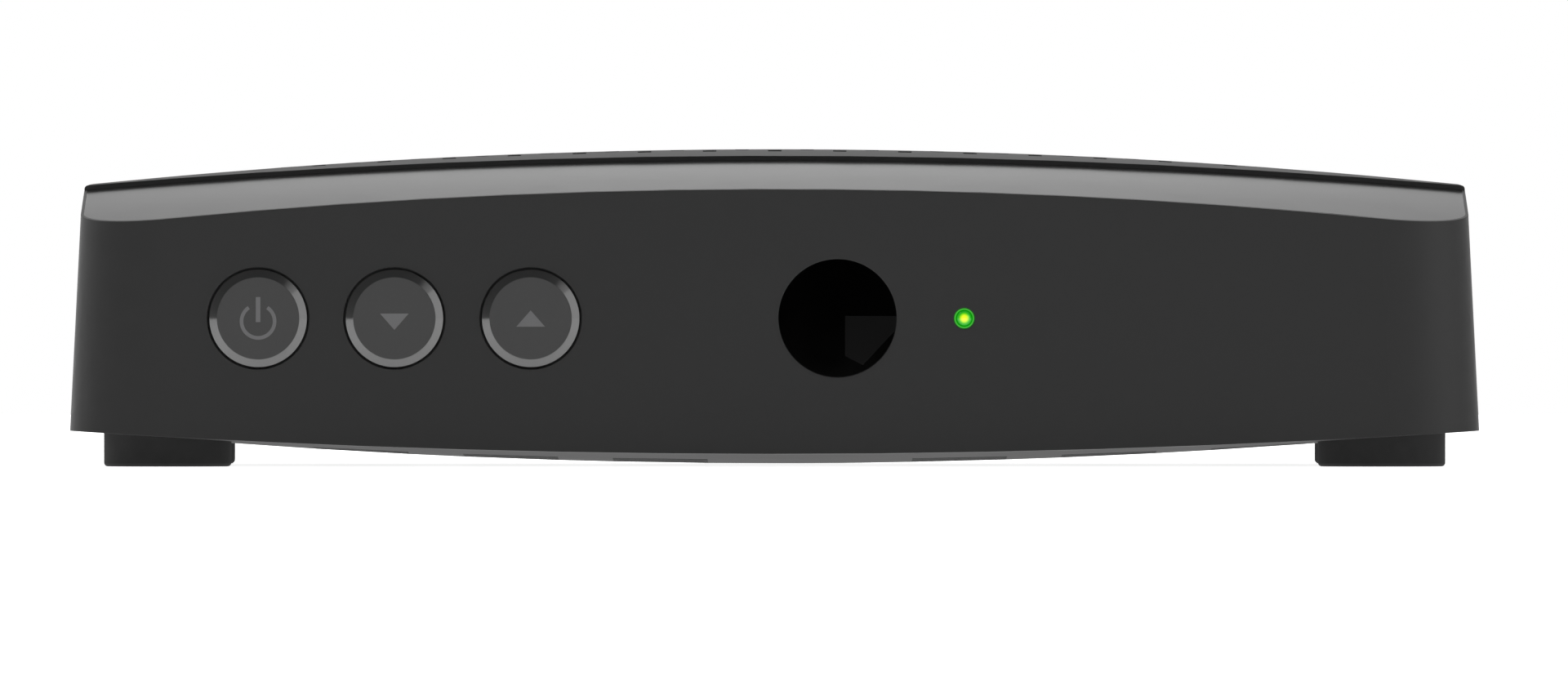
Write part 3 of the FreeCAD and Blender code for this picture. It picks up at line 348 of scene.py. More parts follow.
def cap_plastic(name, flat_colour, bevel_colour):
    finish = Finish(name)
    flattened = finish.node("ShaderNodeMapping", None, {"Vector": finish.place, "Scale": (1, 0, 1)})
    nearest = None
    for button in button_names:
        centre = cap_centre(button)
        distance = finish.node(
            "ShaderNodeVectorMath", {"operation": "DISTANCE"},
            {0: flattened, 1: (centre.x, 0, centre.z)}, "Value",
        )
        nearest = distance if nearest is None else nearest.maths("MINIMUM", nearest, distance)
    depth = finish.node("ShaderNodeSeparateXYZ", None, {0: finish.place}, "Y")
    bevel = (nearest > flat_radius) * (depth < cap_centre("power_button").y + bevel_depth)
    grain = noise(finish, 0.18, detail=3.0)
    polish = noise(finish, 2.5, detail=2.0)
    flat = mix(finish, grain, *shades(flat_colour, 0.08))
    return finish.end({
        "Base Color": mix(finish, bevel, flat, bevel_colour),
        "Roughness": 0.40 + grain * 0.06,
        "Specular IOR Level": 0.35,
        "Coat Weight": bevel * (0.9 + polish * 0.1),
        "Coat Roughness": 0.10,
        "Coat IOR": 1.9,
        "Normal": bump(finish, grain, 0.002, edge_mm=0.10),
    })


button_plastic = cap_plastic("button_plastic", tint(58, 58, 58), tint(40, 40, 40))
print("caps:", button_plastic.name)

# %% [markdown]
# ## Gloss
# The band along the top of the front is polished, and so is the infrared window. A polished moulding is
# never quite flat: it keeps a long, shallow waviness from the way the plastic shrank, which bends its
# reflections a little. That waviness, not grain, is what the finishes of both carry, under a thin film of
# dust and handling that changes the roughness.

# %% Polished plastic
wave_mm = 14.0
wave_depth_mm = 0.003
film_mm = 6.0
polished_edge_mm = 0.12


def polished(name, colour, roughness):
    finish = Finish(name)
    waves = noise(finish, wave_mm, detail=1.0)
    film = noise(finish, film_mm, detail=4.0)
    return finish.end({
        "Base Color": mix(finish, waves, *shades(colour, 0.08)),
        "Roughness": roughness + film * 0.03,
        "Normal": bump(finish, waves, wave_depth_mm, polished_edge_mm),
    })


band_gloss = polished("band_gloss", tint(34, 34, 34), 0.18)
print("polished:", band_gloss.name)

# %% [markdown]
# The window lets infrared light through and nearly no visible light. Straight on it is black, with one
# faint reflection low on the right. That reflection is painted into the window's colour as a lighter patch,
# drawn with four comparisons: a left edge, an upper edge and two slanting lower edges.

# %% Infrared window
window_middle = measure("infrared_window")[2]
reflection_left = 1.1                       # mm to the right of the window's middle
reflection_top = 0.35                       # mm above it
left_fall, left_height = 0.53, -4.93    # slope of the lower left edge, and its height under the middle
right_rise, right_height = 1.07, -10.85


def dark_window(name):
    finish = Finish(name)
    right, up = (
        (finish.node("ShaderNodeSeparateXYZ", None, {0: finish.place}, axis) - middle) / MM
        for axis, middle in (("X", window_middle.x), ("Z", window_middle.z))
    )
    # A painted reflection: a faint lighter patch low on the right of the black window.
    painted_reflection = (right > reflection_left) * (up < reflection_top)
    painted_reflection = painted_reflection * (up + right * left_fall > left_height) * (up - right * right_rise > right_height)
    waves = noise(finish, wave_mm, detail=1.0)
    film = noise(finish, film_mm, detail=4.0)
    return finish.end({
        "Base Color": mix(finish, painted_reflection, tint(1, 1, 1), tint(17, 17, 17)),
        "Roughness": 0.02 + film * 0.03,
        "Specular IOR Level": 0.15,
        "Normal": bump(finish, waves, wave_depth_mm, polished_edge_mm),
    })


window_black = dark_window("window_black")
print("window at", round(window_middle.x / MM, 2), round(window_middle.z / MM, 2), "mm")

# %% [markdown]
# ## Rubber
# The feet are moulded rubber: black, dull, with a faint bloom that gathers in blotches. One even grey would
# look like paper, so the bloom changes the tone and the roughness together, and a fine speckle breaks up
# what gloss there is.

# %% Rubber
def rubber(name, colour):
    finish = Finish(name)
    bloom = noise(finish, 2.2, detail=5.0)
    speckle = noise(finish, 0.12, detail=2.0)
    return finish.end({
        "Base Color": mix(finish, bloom, *shades(colour, 0.25)),
        "Roughness": 0.80 + bloom * 0.12,
        "Specular IOR Level": 0.2,
        "Normal": bump(finish, speckle, 0.008),
    })


foot_rubber = rubber("foot_rubber", tint(43, 43, 43))
print("rubber:", foot_rubber.name)

# %% [markdown]
# ## Metals
# The sockets are nickel plated, the shields are tin plated sheet, and the contacts are gold. Rolling and
# turning leave fine marks in metal. The Anisotropic socket could imitate them, but it acts on the whole
# piece alike, so one function draws real marks instead: noise that is stretched along the work. The rear
# panel is sheet steel under a black powder coat, whose skin is dimpled like the peel of an orange.

# %% Metals
def bare_metal(name, colour, roughness, stretch=(1, 1, 1)):
    finish = Finish(name)
    marks = noise(finish, 0.25, detail=4.0, stretch=stretch)
    tarnish = noise(finish, 4.0, detail=3.0)
    return finish.end({
        "Base Color": mix(finish, tarnish, *shades(colour, 0.12)),
        "Metallic": 1.0,
        "Roughness": roughness - 0.08 + marks * 0.12 + tarnish * 0.06,
        "Normal": bump(finish, marks, 0.002, edge_mm=0.06),
    })


def powder_coat(name, colour):
    finish = Finish(name)
    peel = noise(finish, 0.5, detail=2.0)
    clouds = noise(finish, 20.0, detail=2.0)
    return finish.end({
        "Base Color": mix(finish, clouds, *shades(colour, 0.12)),
        "Roughness": 0.48 + peel * 0.10,
        "Normal": bump(finish, peel, 0.012, edge_mm=0.08),
    })


nickel = bare_metal("nickel", tint(196, 190, 178), 0.24, stretch=(6, 1, 6))
tin_plate = bare_metal("tin_plate", tint(186, 188, 190), 0.34, stretch=(12, 1, 1))
screw_steel = bare_metal("screw_steel", tint(92, 92, 94), 0.36)
aluminium = bare_metal("aluminium", tint(176, 178, 182), 0.38, stretch=(1, 14, 1))
contact_gold = bare_metal("contact_gold", tint(222, 178, 92), 0.22)
steel_black = powder_coat("steel_black", tint(33, 33, 34))
print("metals:", nickel.name, tin_plate.name, screw_steel.name, aluminium.name, contact_gold.name)

# %% [markdown]
# ## Inside
# The boards show green through the vents. A circuit board is glass cloth and resin under a green lacquer,
# with copper tracks that run along and across and lift the lacquer a little. Modelled tracks would cost
# thousands of faces that nobody sees through a vent. Two sets of stripes, cut into stretches by large cells,
# look the same from there. The capacitors wear a dark sleeve that was shrunk on.

# %% Circuit board and sleeves
track_pitch = 1.27 * MM
track_start, track_end = 0.3, 0.62      # shares of the pitch
region_mm = 7


def circuit_board(name):
    """Green lacquer over copper tracks. A third of the cells has tracks across, a third along."""
    finish = Finish(name)
    stripes = []
    for axis in ("X", "Y"):
        pitches = finish.node("ShaderNodeSeparateXYZ", None, {0: finish.place}, axis) / track_pitch
        phase = pitches.maths("FRACT", pitches, 0.0)
        stripes.append((phase > track_start) * (phase < track_end))
    regions = finish.node(
        "ShaderNodeTexVoronoi", {"distance": "CHEBYCHEV"},
        {"Vector": finish.place, "Scale": 1 / (region_mm * MM), "Randomness": 0.8}, "Color",
    )
    choice = finish.node("ShaderNodeSeparateColor", None, {0: regions}, 0)
    tracks = (choice < 0.33) * stripes[0] + (choice > 0.66) * stripes[1]
    weave = noise(finish, 0.6, detail=2.0)
    lacquer = mix(finish, tracks, tint(16, 66, 34), tint(30, 104, 52))
    return finish.end({
        "Base Color": mix(finish, weave * 0.35, lacquer, tint(10, 46, 26)),
        "Roughness": 0.30 + weave * 0.10,
        "Normal": bump(finish, tracks, 0.035, edge_mm=0.08),
    })


def capacitor_sleeve(name):
    finish = Finish(name)
    shrink = noise(finish, 1.5, detail=3.0, stretch=(1, 1, 4))
    return finish.end({
        "Base Color": mix(finish, shrink, tint(22, 24, 30), tint(34, 36, 46)),
        "Roughness": 0.28 + shrink * 0.08,
        "Normal": bump(finish, shrink, 0.01, edge_mm=0.2),
    })


board_green = circuit_board("board_green")
can_sleeve = capacitor_sleeve("can_sleeve")
print("inside:", board_green.name, can_sleeve.name)

# %% [markdown]
# ## The lamp
# The status lamp is a 3 mm green light-emitting diode. Looked at head on, its chip glows yellow-green and
# nearly white in the middle, the epoxy round it is a deeper green, and the rim lights up again where the
# dome bends the light. Glass round a small glowing chip would do this by itself, but needs very many
# samples, so the glow is a colour ramp over the distance from the lamp's axis.

# %% Lamp finish
lamp_centre = measure("status_lamp")[2]
lamp_radius = 1.5 * MM
lamp_glow = [                           # share of the radius, linear colour
    (0.0, (1.0, 1.0, 0.04, 1)),
    (0.26, (0.80, 1.0, 0.03, 1)),
    (0.50, (0.06, 0.55, 0.01, 1)),
    (0.64, (0.0, 0.30, 0.0, 1)),
    (0.80, (0.0, 0.24, 0.0, 1)),
    (0.92, (0.08, 0.55, 0.06, 1)),
    (1.0, (0.01, 0.06, 0.01, 1)),
]


def lit_epoxy(name):
    finish = Finish(name)
    centred = finish.node("ShaderNodeMapping", {"vector_type": "POINT"}, {
        "Vector": finish.place,
        "Location": (-lamp_centre.x / lamp_radius, 0, -lamp_centre.z / lamp_radius),
        "Scale": (1 / lamp_radius, 0, 1 / lamp_radius),
    })
    radius = finish.node("ShaderNodeVectorMath", {"operation": "LENGTH"}, {0: centred}, "Value")
    cloud = noise(finish, 0.5, detail=2.0)
    return finish.end({
        "Base Color": mix(finish, cloud, tint(4, 60, 3), tint(6, 84, 5)),
        "Roughness": 0.12 + cloud * 0.05,
        "Emission Color": finish.node("ShaderNodeValToRGB", {"stops": lamp_glow}, {0: radius}),
        "Emission Strength": 1.0,
    })


lamp_green = lit_epoxy("lamp_green")
print("lamp centre", [round(v / MM, 2) for v in lamp_centre])

# %% [markdown]
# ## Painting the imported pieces
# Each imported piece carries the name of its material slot. They could be painted one by one, but a dictionary
# from slot to finish paints them all, and misses none.

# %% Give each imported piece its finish
finishes = {
    material.name.split(".")[0]: material
    for material in (
        case_plastic, panel_plastic, button_plastic, socket_black, insulator_white, audio_orange,
        band_gloss, window_black, foot_rubber, nickel, tin_plate, screw_steel, aluminium,
        contact_gold, steel_black, board_green, chip_black, can_sleeve, lamp_green,
    )
}
painted = {}
for name, node in nodes.items():
    for slot in node.material_slots:
        painted[name] = slot.material.name.split(".")[0]
        slot.material = finishes[painted[name]]
print("painted", len(painted), "pieces in", len(set(painted.values())), "finishes")

# %% [markdown]
# ## Making a new piece
# Every new piece is a bmesh first. This helper turns it into an object with the finish of its slot, lets it
# ride on the body that carries it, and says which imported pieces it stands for. Nearly all ride on the
# receiver itself.

# %% Finish off a bmesh
def add_piece(name, shape, slot, body="receiver", stands_for=(), smooth_angle=40, material=None):
    """Turns a bmesh into a named piece that rides on a body."""
    mesh = bpy.data.meshes.new(name)
    shape.to_mesh(mesh)
    shape.free()
    mesh.materials.append(material or finishes[slot])
    mesh.shade_smooth()
    mesh.set_sharp_from_angle(angle=math.radians(smooth_angle))
    piece = bpy.data.objects.new(name, mesh)
    bpy.context.scene.collection.objects.link(piece)
    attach(piece, body)
    if stands_for:
        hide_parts(*stands_for)
    print(name, len(mesh.vertices), "vertices,", len(mesh.polygons), "faces")


print("new pieces can take", len(finishes), "finishes")

# %% [markdown]
# The operators of bmesh take and return loose lists of vertices, edges and faces. Three small helpers sort
# them, and two more do the work of a lathe: one lays a profile, the other spins it all the way round.

# %% Sorting and turning
same_place = 0.0001 * MM                # points closer than this are one


def all_of(shape):
    """Every vertex, edge and face of a bmesh."""
    return shape.verts[:] + shape.edges[:] + shape.faces[:]


def vertices_of(parts):
    """The vertices among the parts."""
    return [part for part in parts if isinstance(part, bmesh.types.BMVert)]


def open_edges(parts):
    """The edges among the parts that have a face on one side only."""
    return [part for part in parts if isinstance(part, bmesh.types.BMEdge) and part.is_boundary]


def chain(shape, points):
    """Vertices at the points, joined one after another by edges."""
    vertices = [shape.verts.new(point) for point in points]
    for first, second in zip(vertices, vertices[1:]):
        shape.edges.new((first, second))


def turn(points, centre, axis, steps=64):
    """A bmesh turned like on a lathe: a half profile spun all the way round an axis."""
    shape = bmesh.new()
    chain(shape, points)
    bmesh.ops.spin(
        shape, geom=all_of(shape), cent=centre, axis=axis,
        angle=math.tau, steps=steps, use_merge=True,
    )
    bmesh.ops.remove_doubles(shape, verts=shape.verts, dist=same_place)
    bmesh.ops.recalc_face_normals(shape, faces=shape.faces)
    return shape


print("points closer than", round(same_place / MM, 5), "mm are merged")

# %% [markdown]
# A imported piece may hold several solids, such as the screws of one kind. The next helper finds them, so that
# each can be replaced where it stands: it joins the loose triangles at their corners and walks from corner
# to corner until nothing more hangs together.

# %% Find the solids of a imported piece
def islands(name):
    """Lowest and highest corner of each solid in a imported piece, from left to right."""
    shape = bmesh.new()
    shape.from_mesh(nodes[name].data)
    bmesh.ops.remove_doubles(shape, verts=shape.verts, dist=same_place)
    waiting = set(shape.verts)
    boxes = []
    for first in shape.verts:
        if first not in waiting:
            continue
        waiting.discard(first)
        island, front = [], [first]
        while front:
            vertex = front.pop()
            island.append(vertex.co.copy())
            for edge in vertex.link_edges:
                other = edge.other_vert(vertex)
                if other in waiting:
                    waiting.discard(other)
                    front.append(other)
        low = Vector([min(point[axis] for point in island) for axis in range(3)])
        high = Vector([max(point[axis] for point in island) for axis in range(3)])
        boxes.append((low, high))
    shape.free()
    return sorted(boxes, key=lambda box: tuple(round(value, 5) for value in box[0]))


print("solids:", {name: len(islands(name)) for name in ("cover_screws", "board_screws", "capacitors")})

# %% [markdown]
# ## Feet
# Each foot is a round rubber pad. A real one has a soft lower edge and a shallow dish underneath, so that
# only a ring touches the table. A cylinder could be bevelled and inset, but a lathe profile does it in one
# go: down the side, round the edge, across the ring, and up into the dish.

# %% Turn the feet
foot_chamfer = 0.3 * MM
foot_edge = 0.6 * MM
foot_edge_steps = 5
dish_depth = 0.35 * MM
ring_width = 3.4 * MM
for foot in ("foot_front_left", "foot_front_right", "foot_rear_left", "foot_rear_right"):
    low, high, centre = measure(foot)
    radius = (high.x - low.x) / 2
    ring_radius = radius - foot_edge - ring_width
    profile = [(0, high.z), (radius - foot_chamfer, high.z), (radius, high.z - foot_chamfer)]
    for step in range(foot_edge_steps + 1):
        turned_by = math.radians(90) * step / foot_edge_steps
        profile.append((
            radius - foot_edge + foot_edge * math.cos(turned_by),
            low.z + foot_edge - foot_edge * math.sin(turned_by),
        ))
    profile.append((ring_radius, low.z))
    profile.append((ring_radius - dish_depth, low.z + dish_depth))
    profile.append((0, low.z + dish_depth))
    points = [(centre.x + r, centre.y, z) for r, z in profile]
    pad = turn(points, (centre.x, centre.y, 0), (0, 0, 1), steps=72)
    add_piece(foot + "_pad", pad, "foot_rubber", stands_for=[foot])

# %% [markdown]
# ## Marks on the buttons
# The power button carries the usual broken ring with a bar, the other two a triangle down and a triangle
# up. They are printed, so each is a skin a hundredth of a millimetre thick on the cap. A text object
# could draw them, but three plain outlines are quicker: a filled outline is extruded by its thickness.

# %% Outlines and prints
print_thickness = 0.01 * MM
print_sink = 0.02 * MM                  # how far the print reaches into the cap


def printed(name, drawing, face_y, body):
    """Gives flat faces drawn in the XZ plane at y = 0 a thickness and lays them on a cap's face."""
    raised = vertices_of(bmesh.ops.extrude_face_region(drawing, geom=drawing.faces[:])["geom"])
    bmesh.ops.translate(drawing, verts=raised, vec=(0, -print_thickness - print_sink, 0))
    bmesh.ops.translate(drawing, verts=drawing.verts, vec=(0, face_y + print_sink, 0))
    bmesh.ops.recalc_face_normals(drawing, faces=drawing.faces)
    add_piece(name, drawing, "button_plastic", body, smooth_angle=20, material=mark_print)


def broken_ring(centre, inner, outer, half_gap, steps):
    """A flat ring with a gap at its top, spun from one short edge."""
    shape = bmesh.new()
    start = math.radians(90) - half_gap
    outward = Vector((math.cos(start), 0, math.sin(start)))
    chain(shape, [centre + outward * inner, centre + outward * outer])
    bmesh.ops.spin(
        shape, geom=all_of(shape), cent=centre, axis=(0, 1, 0),
        angle=math.tau - 2 * half_gap, steps=steps, use_merge=False,
    )
    return shape


def flat_face(shape, centre, corners):
    """A flat face in the XZ plane. Each corner is a step to the right and a step up from the centre."""
    shape.faces.new([shape.verts.new(centre + Vector((right, 0, up))) for right, up in corners])


print("a print stands", round(print_thickness / MM, 3), "mm out of its cap")

# %% [markdown]
# The ring could be a disc with a smaller one cut out of it. One short edge spun round the middle gives the
# same ring in even steps, and a spin that stops short of the full turn leaves the gap. The bar is one face
# that stands in the gap.

# %% Print the power mark
ring_drop = 0.44 * MM                   # from the middle of the cap down to the middle of the ring
ring_inner, ring_outer = 2.16 * MM, 2.70 * MM
ring_half_gap = math.radians(34)
bar_low, bar_high = -0.55 * MM, 3.12 * MM
bar_half = 0.335 * MM
power_centre = cap_centre("power_button")
power_middle = Vector((power_centre.x, 0, power_centre.z))
power_mark = broken_ring(
    power_middle - Vector((0, 0, ring_drop)), ring_inner, ring_outer, ring_half_gap, steps=40
)
flat_face(power_mark, power_middle, (
    (-bar_half, bar_low), (bar_half, bar_low), (bar_half, bar_high), (-bar_half, bar_high),
))
printed("power_mark", power_mark, power_centre.y, "power_key")

# %% [markdown]
# A triangle is one face, so its three corners are simply written down. Both triangles come from one loop, in
# which a sign turns the tip down or up and a shift says how far from the middle of its cap each one sits.

# %% Print the triangles
triangle_half_width = 2.11 * MM
triangle_height = 2.4 * MM
for name, button, body, up, shift_mm in (
    ("channel_down_mark", "channel_down_button", "channel_down_key", -1, -0.5),
    ("channel_up_mark", "channel_up_button", "channel_up_key", 1, -0.03),
):
    centre = cap_centre(button)
    tip = up * triangle_height / 2
    mark = bmesh.new()
    flat_face(mark, Vector((centre.x, 0, centre.z + shift_mm * MM)), (
        (-triangle_half_width, -tip), (triangle_half_width, -tip), (0, tip),
    ))
    printed(name, mark, centre.y, body)

# %% [markdown]
# ## Aerial sockets
# The two aerial sockets are threaded barrels. A screw thread this fine looks the same as a stack of rings,
# so the barrel is turned from a saw-toothed half profile, which stays a closed and simple mesh. The profile
# starts at the flange, goes out along the thread, and comes back through the bore.

# %% Turn the threaded barrels
thread_pitch = 0.794 * MM               # 32 turns to the inch
thread_depth = 0.42 * MM
crest_start, crest_end = 0.42, 0.58     # shares of the pitch
barrel_radius = 4.7 * MM
barrel_bore = 3.3 * MM
flange_thickness = 1 * MM
neck_depth = 0.5 * MM                   # the groove between the nut and the thread
neck_width = 0.6 * MM
thread_end = 0.5 * MM                   # plain stretch at the mouth
mouth_chamfer = 0.15 * MM
bore_chamfer = 0.2 * MM
thread_root = barrel_radius - thread_depth
thread_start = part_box("socket_nuts")[1].y + neck_width
for socket in ("lnb_socket", "loop_socket"):
    low, high, centre = measure(socket)
    flange_radius = (high.x - low.x) / 2
    profile = [
        (barrel_bore, low.y), (flange_radius, low.y), (flange_radius, low.y + flange_thickness),
        (barrel_radius, low.y + flange_thickness), (barrel_radius, thread_start - neck_width),
        (barrel_radius - neck_depth, thread_start - neck_width),
        (barrel_radius - neck_depth, thread_start - mouth_chamfer),
    ]
    y = thread_start
    while y + thread_pitch < high.y - thread_end:
        profile.append((thread_root, y))
        profile.append((barrel_radius, y + crest_start * thread_pitch))
        profile.append((barrel_radius, y + crest_end * thread_pitch))
        y += thread_pitch
    profile += [
        (thread_root, y), (thread_root, high.y - mouth_chamfer), (thread_root - mouth_chamfer, high.y),
        (barrel_bore + bore_chamfer, high.y), (barrel_bore, high.y - bore_chamfer), (barrel_bore, low.y),
    ]
    points = [(centre.x + r, y, centre.z) for r, y in profile]
    barrel = turn(points, (centre.x, 0, centre.z), (0, 1, 0), steps=64)
    add_piece(socket + "_thread", barrel, "nickel", stands_for=[socket], smooth_angle=30)

# %% [markdown]
# ## Nuts
# A hexagonal nut clamps each aerial socket. A real nut is cut from a hexagonal bar, and a cone takes its
# corners off. Here the order is the other way round: a disc with sloping edges is turned, and six planes cut
# its flats, which leaves the same curved edge on every corner.

# %% Cut the nuts
nut_bore = 4.6 * MM
nut_slope = 0.45 * MM
nut_face_share = 0.48                   # radius of the flat ring on a face, as a share of the nut's width
nuts_low, nuts_high, nuts_middle = measure("socket_nuts")
across_flats = nuts_high.z - nuts_low.z
corner_radius = across_flats / math.sqrt(3)
nut_centre = Vector((nuts_low.x + corner_radius, 0, nuts_middle.z))
nut_profile = [
    (nut_bore, nuts_low.y), (nut_face_share * across_flats, nuts_low.y),
    (corner_radius, nuts_low.y + nut_slope), (corner_radius, nuts_high.y - nut_slope),
    (nut_face_share * across_flats, nuts_high.y), (nut_bore, nuts_high.y), (nut_bore, nuts_low.y),
]
nut = turn([(nut_centre.x + r, y, nut_centre.z) for r, y in nut_profile], nut_centre, (0, 1, 0), steps=72)
for side in range(6):
    turned_by = math.radians(60 * side)
    outward = Vector((math.sin(turned_by), 0, math.cos(turned_by)))
    cut = bmesh.ops.bisect_plane(
        nut, geom=all_of(nut), dist=same_place,
        plane_co=nut_centre + outward * across_flats / 2, plane_no=outward, clear_outer=True,
    )
    bmesh.ops.edgeloop_fill(nut, edges=open_edges(cut["geom_cut"]))
second_nut = bmesh.ops.duplicate(nut, geom=all_of(nut))["geom"]
nut_distance = nuts_high.x - nuts_low.x - 2 * corner_radius
bmesh.ops.translate(nut, verts=vertices_of(second_nut), vec=(nut_distance, 0, 0))
bmesh.ops.recalc_face_normals(nut, faces=nut.faces)
add_piece("aerial_nuts", nut, "nickel", stands_for=["socket_nuts"], smooth_angle=25)

# %% [markdown]
# ## Screws
# Four screws hold the covers together from below, and shorter ones hold the two boards. Their heads are
# domed and have a cross recess. A Boolean cut would do, but one mesh can grow from the recess outwards:
# planes score a flat face, the scored faces that make a cross are extruded downwards, and their floor is
# made smaller, as the driver's tip is. The rim of the face is then extruded ring by ring, and the last ring
# is closed. One helper does each of the two.

# %% Sink a cross and draw a rim
def sink_cross(shape, half_width, reach, depth, taper):
    """Sinks a cross into a flat, level face round the z axis."""
    for axis in (Vector((1, 0, 0)), Vector((0, 1, 0))):
        for place in (-reach, -half_width, half_width, reach):
            bmesh.ops.bisect_plane(
                shape, geom=all_of(shape), dist=same_place, plane_co=axis * place, plane_no=axis
            )
    cross = []
    for face in shape.faces:
        near, far = sorted(abs(value) for value in face.calc_center_median().xy)
        if near < half_width and far < reach:
            cross.append(face)
    floor = vertices_of(bmesh.ops.extrude_face_region(shape, geom=cross)["geom"])
    bmesh.ops.delete(shape, geom=cross, context="FACES")
    bmesh.ops.scale(shape, verts=floor, vec=(taper, taper, 1))
    bmesh.ops.translate(shape, verts=floor, vec=(0, 0, -depth))


def draw_rim(shape, radius, z, rings):
    """Extrudes the round rim of a face through rings, each a radius and a height, and closes the last."""
    ring = open_edges(shape.edges)
    for next_radius, next_z in rings:
        grown = bmesh.ops.extrude_edge_only(shape, edges=ring)["geom"]
        moved = vertices_of(grown)
        bmesh.ops.scale(shape, verts=moved, vec=(next_radius / radius, next_radius / radius, 1))
        bmesh.ops.translate(shape, verts=moved, vec=(0, 0, next_z - z))
        ring, radius, z = open_edges(grown), next_radius, next_z
    bmesh.ops.edgeloop_fill(shape, edges=ring)
    bmesh.ops.recalc_face_normals(shape, faces=shape.faces)


print("helpers:", sink_cross.__name__, draw_rim.__name__)

# %% [markdown]
# A screw starts as its flat crown. The cross goes into it, and the rings make the dome, the rim of the head
# and the shank. A sphere cut in half would give the dome too, but not a flat crown to sink the cross into.
# The first ring is narrow and level, so that the dome's smooth shading starts outside the crown.

# %% Shape a screw
crown_radius = 1.95 * MM
level_ring = 0.03 * MM
head_radius = 2.7 * MM
head_height = 1.8 * MM
rim_height = 0.8 * MM
shank_radius = 1.2 * MM
dome_steps = 4


def screw(length):
    """A screw that stands on its shank: the head's seat is at z = 0, and its crown is up."""
    shape = bmesh.new()
    bmesh.ops.create_circle(
        shape, cap_ends=True, segments=40, radius=crown_radius,
        matrix=Matrix.Translation((0, 0, head_height)),
    )
    sink_cross(shape, half_width=0.38 * MM, reach=1.45 * MM, depth=1.1 * MM, taper=0.45)
    crown_edge = crown_radius + level_ring
    rings = [(crown_edge, head_height)]
    for step in range(1, dome_steps + 1):
        turned_by = math.radians(90) * step / dome_steps
        rings.append((
            crown_edge + (head_radius - crown_edge) * math.sin(turned_by),
            rim_height + (head_height - rim_height) * math.cos(turned_by),
        ))
    rings += [(head_radius, 0), (shank_radius, 0), (shank_radius, -length)]
    draw_rim(shape, crown_radius, head_height, rings)
    return shape


print("screw head", round(2 * head_radius / MM, 2), "mm across,", round(head_height / MM, 2), "mm high")

# %% [markdown]
# Each packed screw is then replaced by a new one of its own length. A screw is made standing up, so it is
# turned to the side that its crown faces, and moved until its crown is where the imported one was.

# %% Set the screws
for name, crown_side in (
    ("cover_screws", Vector((0, 0, -1))),
    ("board_screws", Vector((0, 0, 1))),
    ("front_board_screws", Vector((0, 1, 0))),
):
    turned_to = Vector((0, 0, 1)).rotation_difference(crown_side).to_matrix()
    for number, (low, high) in enumerate(islands(name), 1):
        whole_length = abs((high - low).dot(crown_side))
        crown = (low + high) / 2 + crown_side * whole_length / 2
        new_screw = screw(whole_length - head_height)
        bmesh.ops.rotate(new_screw, verts=new_screw.verts, matrix=turned_to)
        bmesh.ops.translate(new_screw, verts=new_screw.verts, vec=crown - crown_side * head_height)
        new_name = name[:-1] + "_" + str(number)
        add_piece(new_name, new_screw, "screw_steel", stands_for=[name], smooth_angle=35)

# %% [markdown]
# ## Contacts
# The sockets' contacts are thin gold or tinned strips in rows. An Array modifier could repeat one strip, but
# the rows are staggered, so a helper sets a small bar round each place and softens all edges at once.

# %% Rows and bars
edge_share = 0.2                        # softened edge of a bar, as a share of its smallest side


def row(middle, pitch, count):
    """Evenly spaced places along a line, the same number on both sides of its middle."""
    return [middle + (place - (count - 1) / 2) * pitch for place in range(count)]


def bars(places, *sizes):
    """A bmesh of bars with softened edges, one round each place. The sizes are dealt out in turn."""
    shape = bmesh.new()
    for number, place in enumerate(places):
        size = Vector(sizes[number % len(sizes)])
        bmesh.ops.create_cube(shape, size=1, matrix=Matrix.LocRotScale(Vector(place), None, size))
    bmesh.ops.bevel(
        shape, geom=shape.edges[:], offset=edge_share * min(sizes[0]), offset_type="OFFSET",
        affect="EDGES", segments=1, profile=0.5, material=-1, clamp_overlap=True,
    )
    return shape


print("the edges of a bar are softened by", edge_share, "of its smallest side")

# %% [markdown]
# The picture socket has a row of contacts above its tongue and one below it, the flat data socket has four
# under its tongue, and the wide television socket has one in each slot of its island. The strips could be
# single objects, but nobody moves one alone, so the contacts of one socket are one mesh.

# %% Set the contacts
picture_depth = 3.2 * MM                # from the end of the tongue in to the middle of its contacts
data_depth = 4.2 * MM
scart_depth = 3.3 * MM                  # the same from the rear face of the wide socket
tongue_low, tongue_high, tongue_middle = measure("hdmi_tongue")
picture_pitch = 1 * MM
picture_y = tongue_high.y - picture_depth
picture_places = [(x, picture_y, tongue_high.z) for x in row(tongue_middle.x, picture_pitch, 10)]
picture_places += [(x, picture_y, tongue_low.z) for x in row(tongue_middle.x, picture_pitch, 9)]
picture_contacts = bars(picture_places, (0.5 * MM, 5.6 * MM, 0.10 * MM))
add_piece("picture_contacts", picture_contacts, "contact_gold")

tongue_low, tongue_high, tongue_middle = measure("usb_tongue")
data_y = tongue_high.y - data_depth
data_places = [
    (tongue_middle.x + shift_mm * MM, data_y, tongue_low.z) for shift_mm in (-3.5, -1.0, 1.0, 3.5)
]
data_contacts = bars(data_places, (1.0 * MM, 6.6 * MM, 0.16 * MM))
add_piece("data_contacts", data_contacts, "contact_gold")

_, scart_high, scart_middle = measure("scart_socket")
scart_y = scart_high.y - scart_depth
scart_pitch = 3.81 * MM
scart_rise = 1.3 * MM
scart_places = []
for side in (-1, 1):
    for x in row(scart_middle.x + side * scart_pitch / 4, scart_pitch, 10):
        scart_places.append((x, scart_y, scart_middle.z + side * scart_rise))
scart_contacts = bars(scart_places, (0.45 * MM, 2.2 * MM, 0.95 * MM))
add_piece("scart_contacts", scart_contacts, "tin_plate")

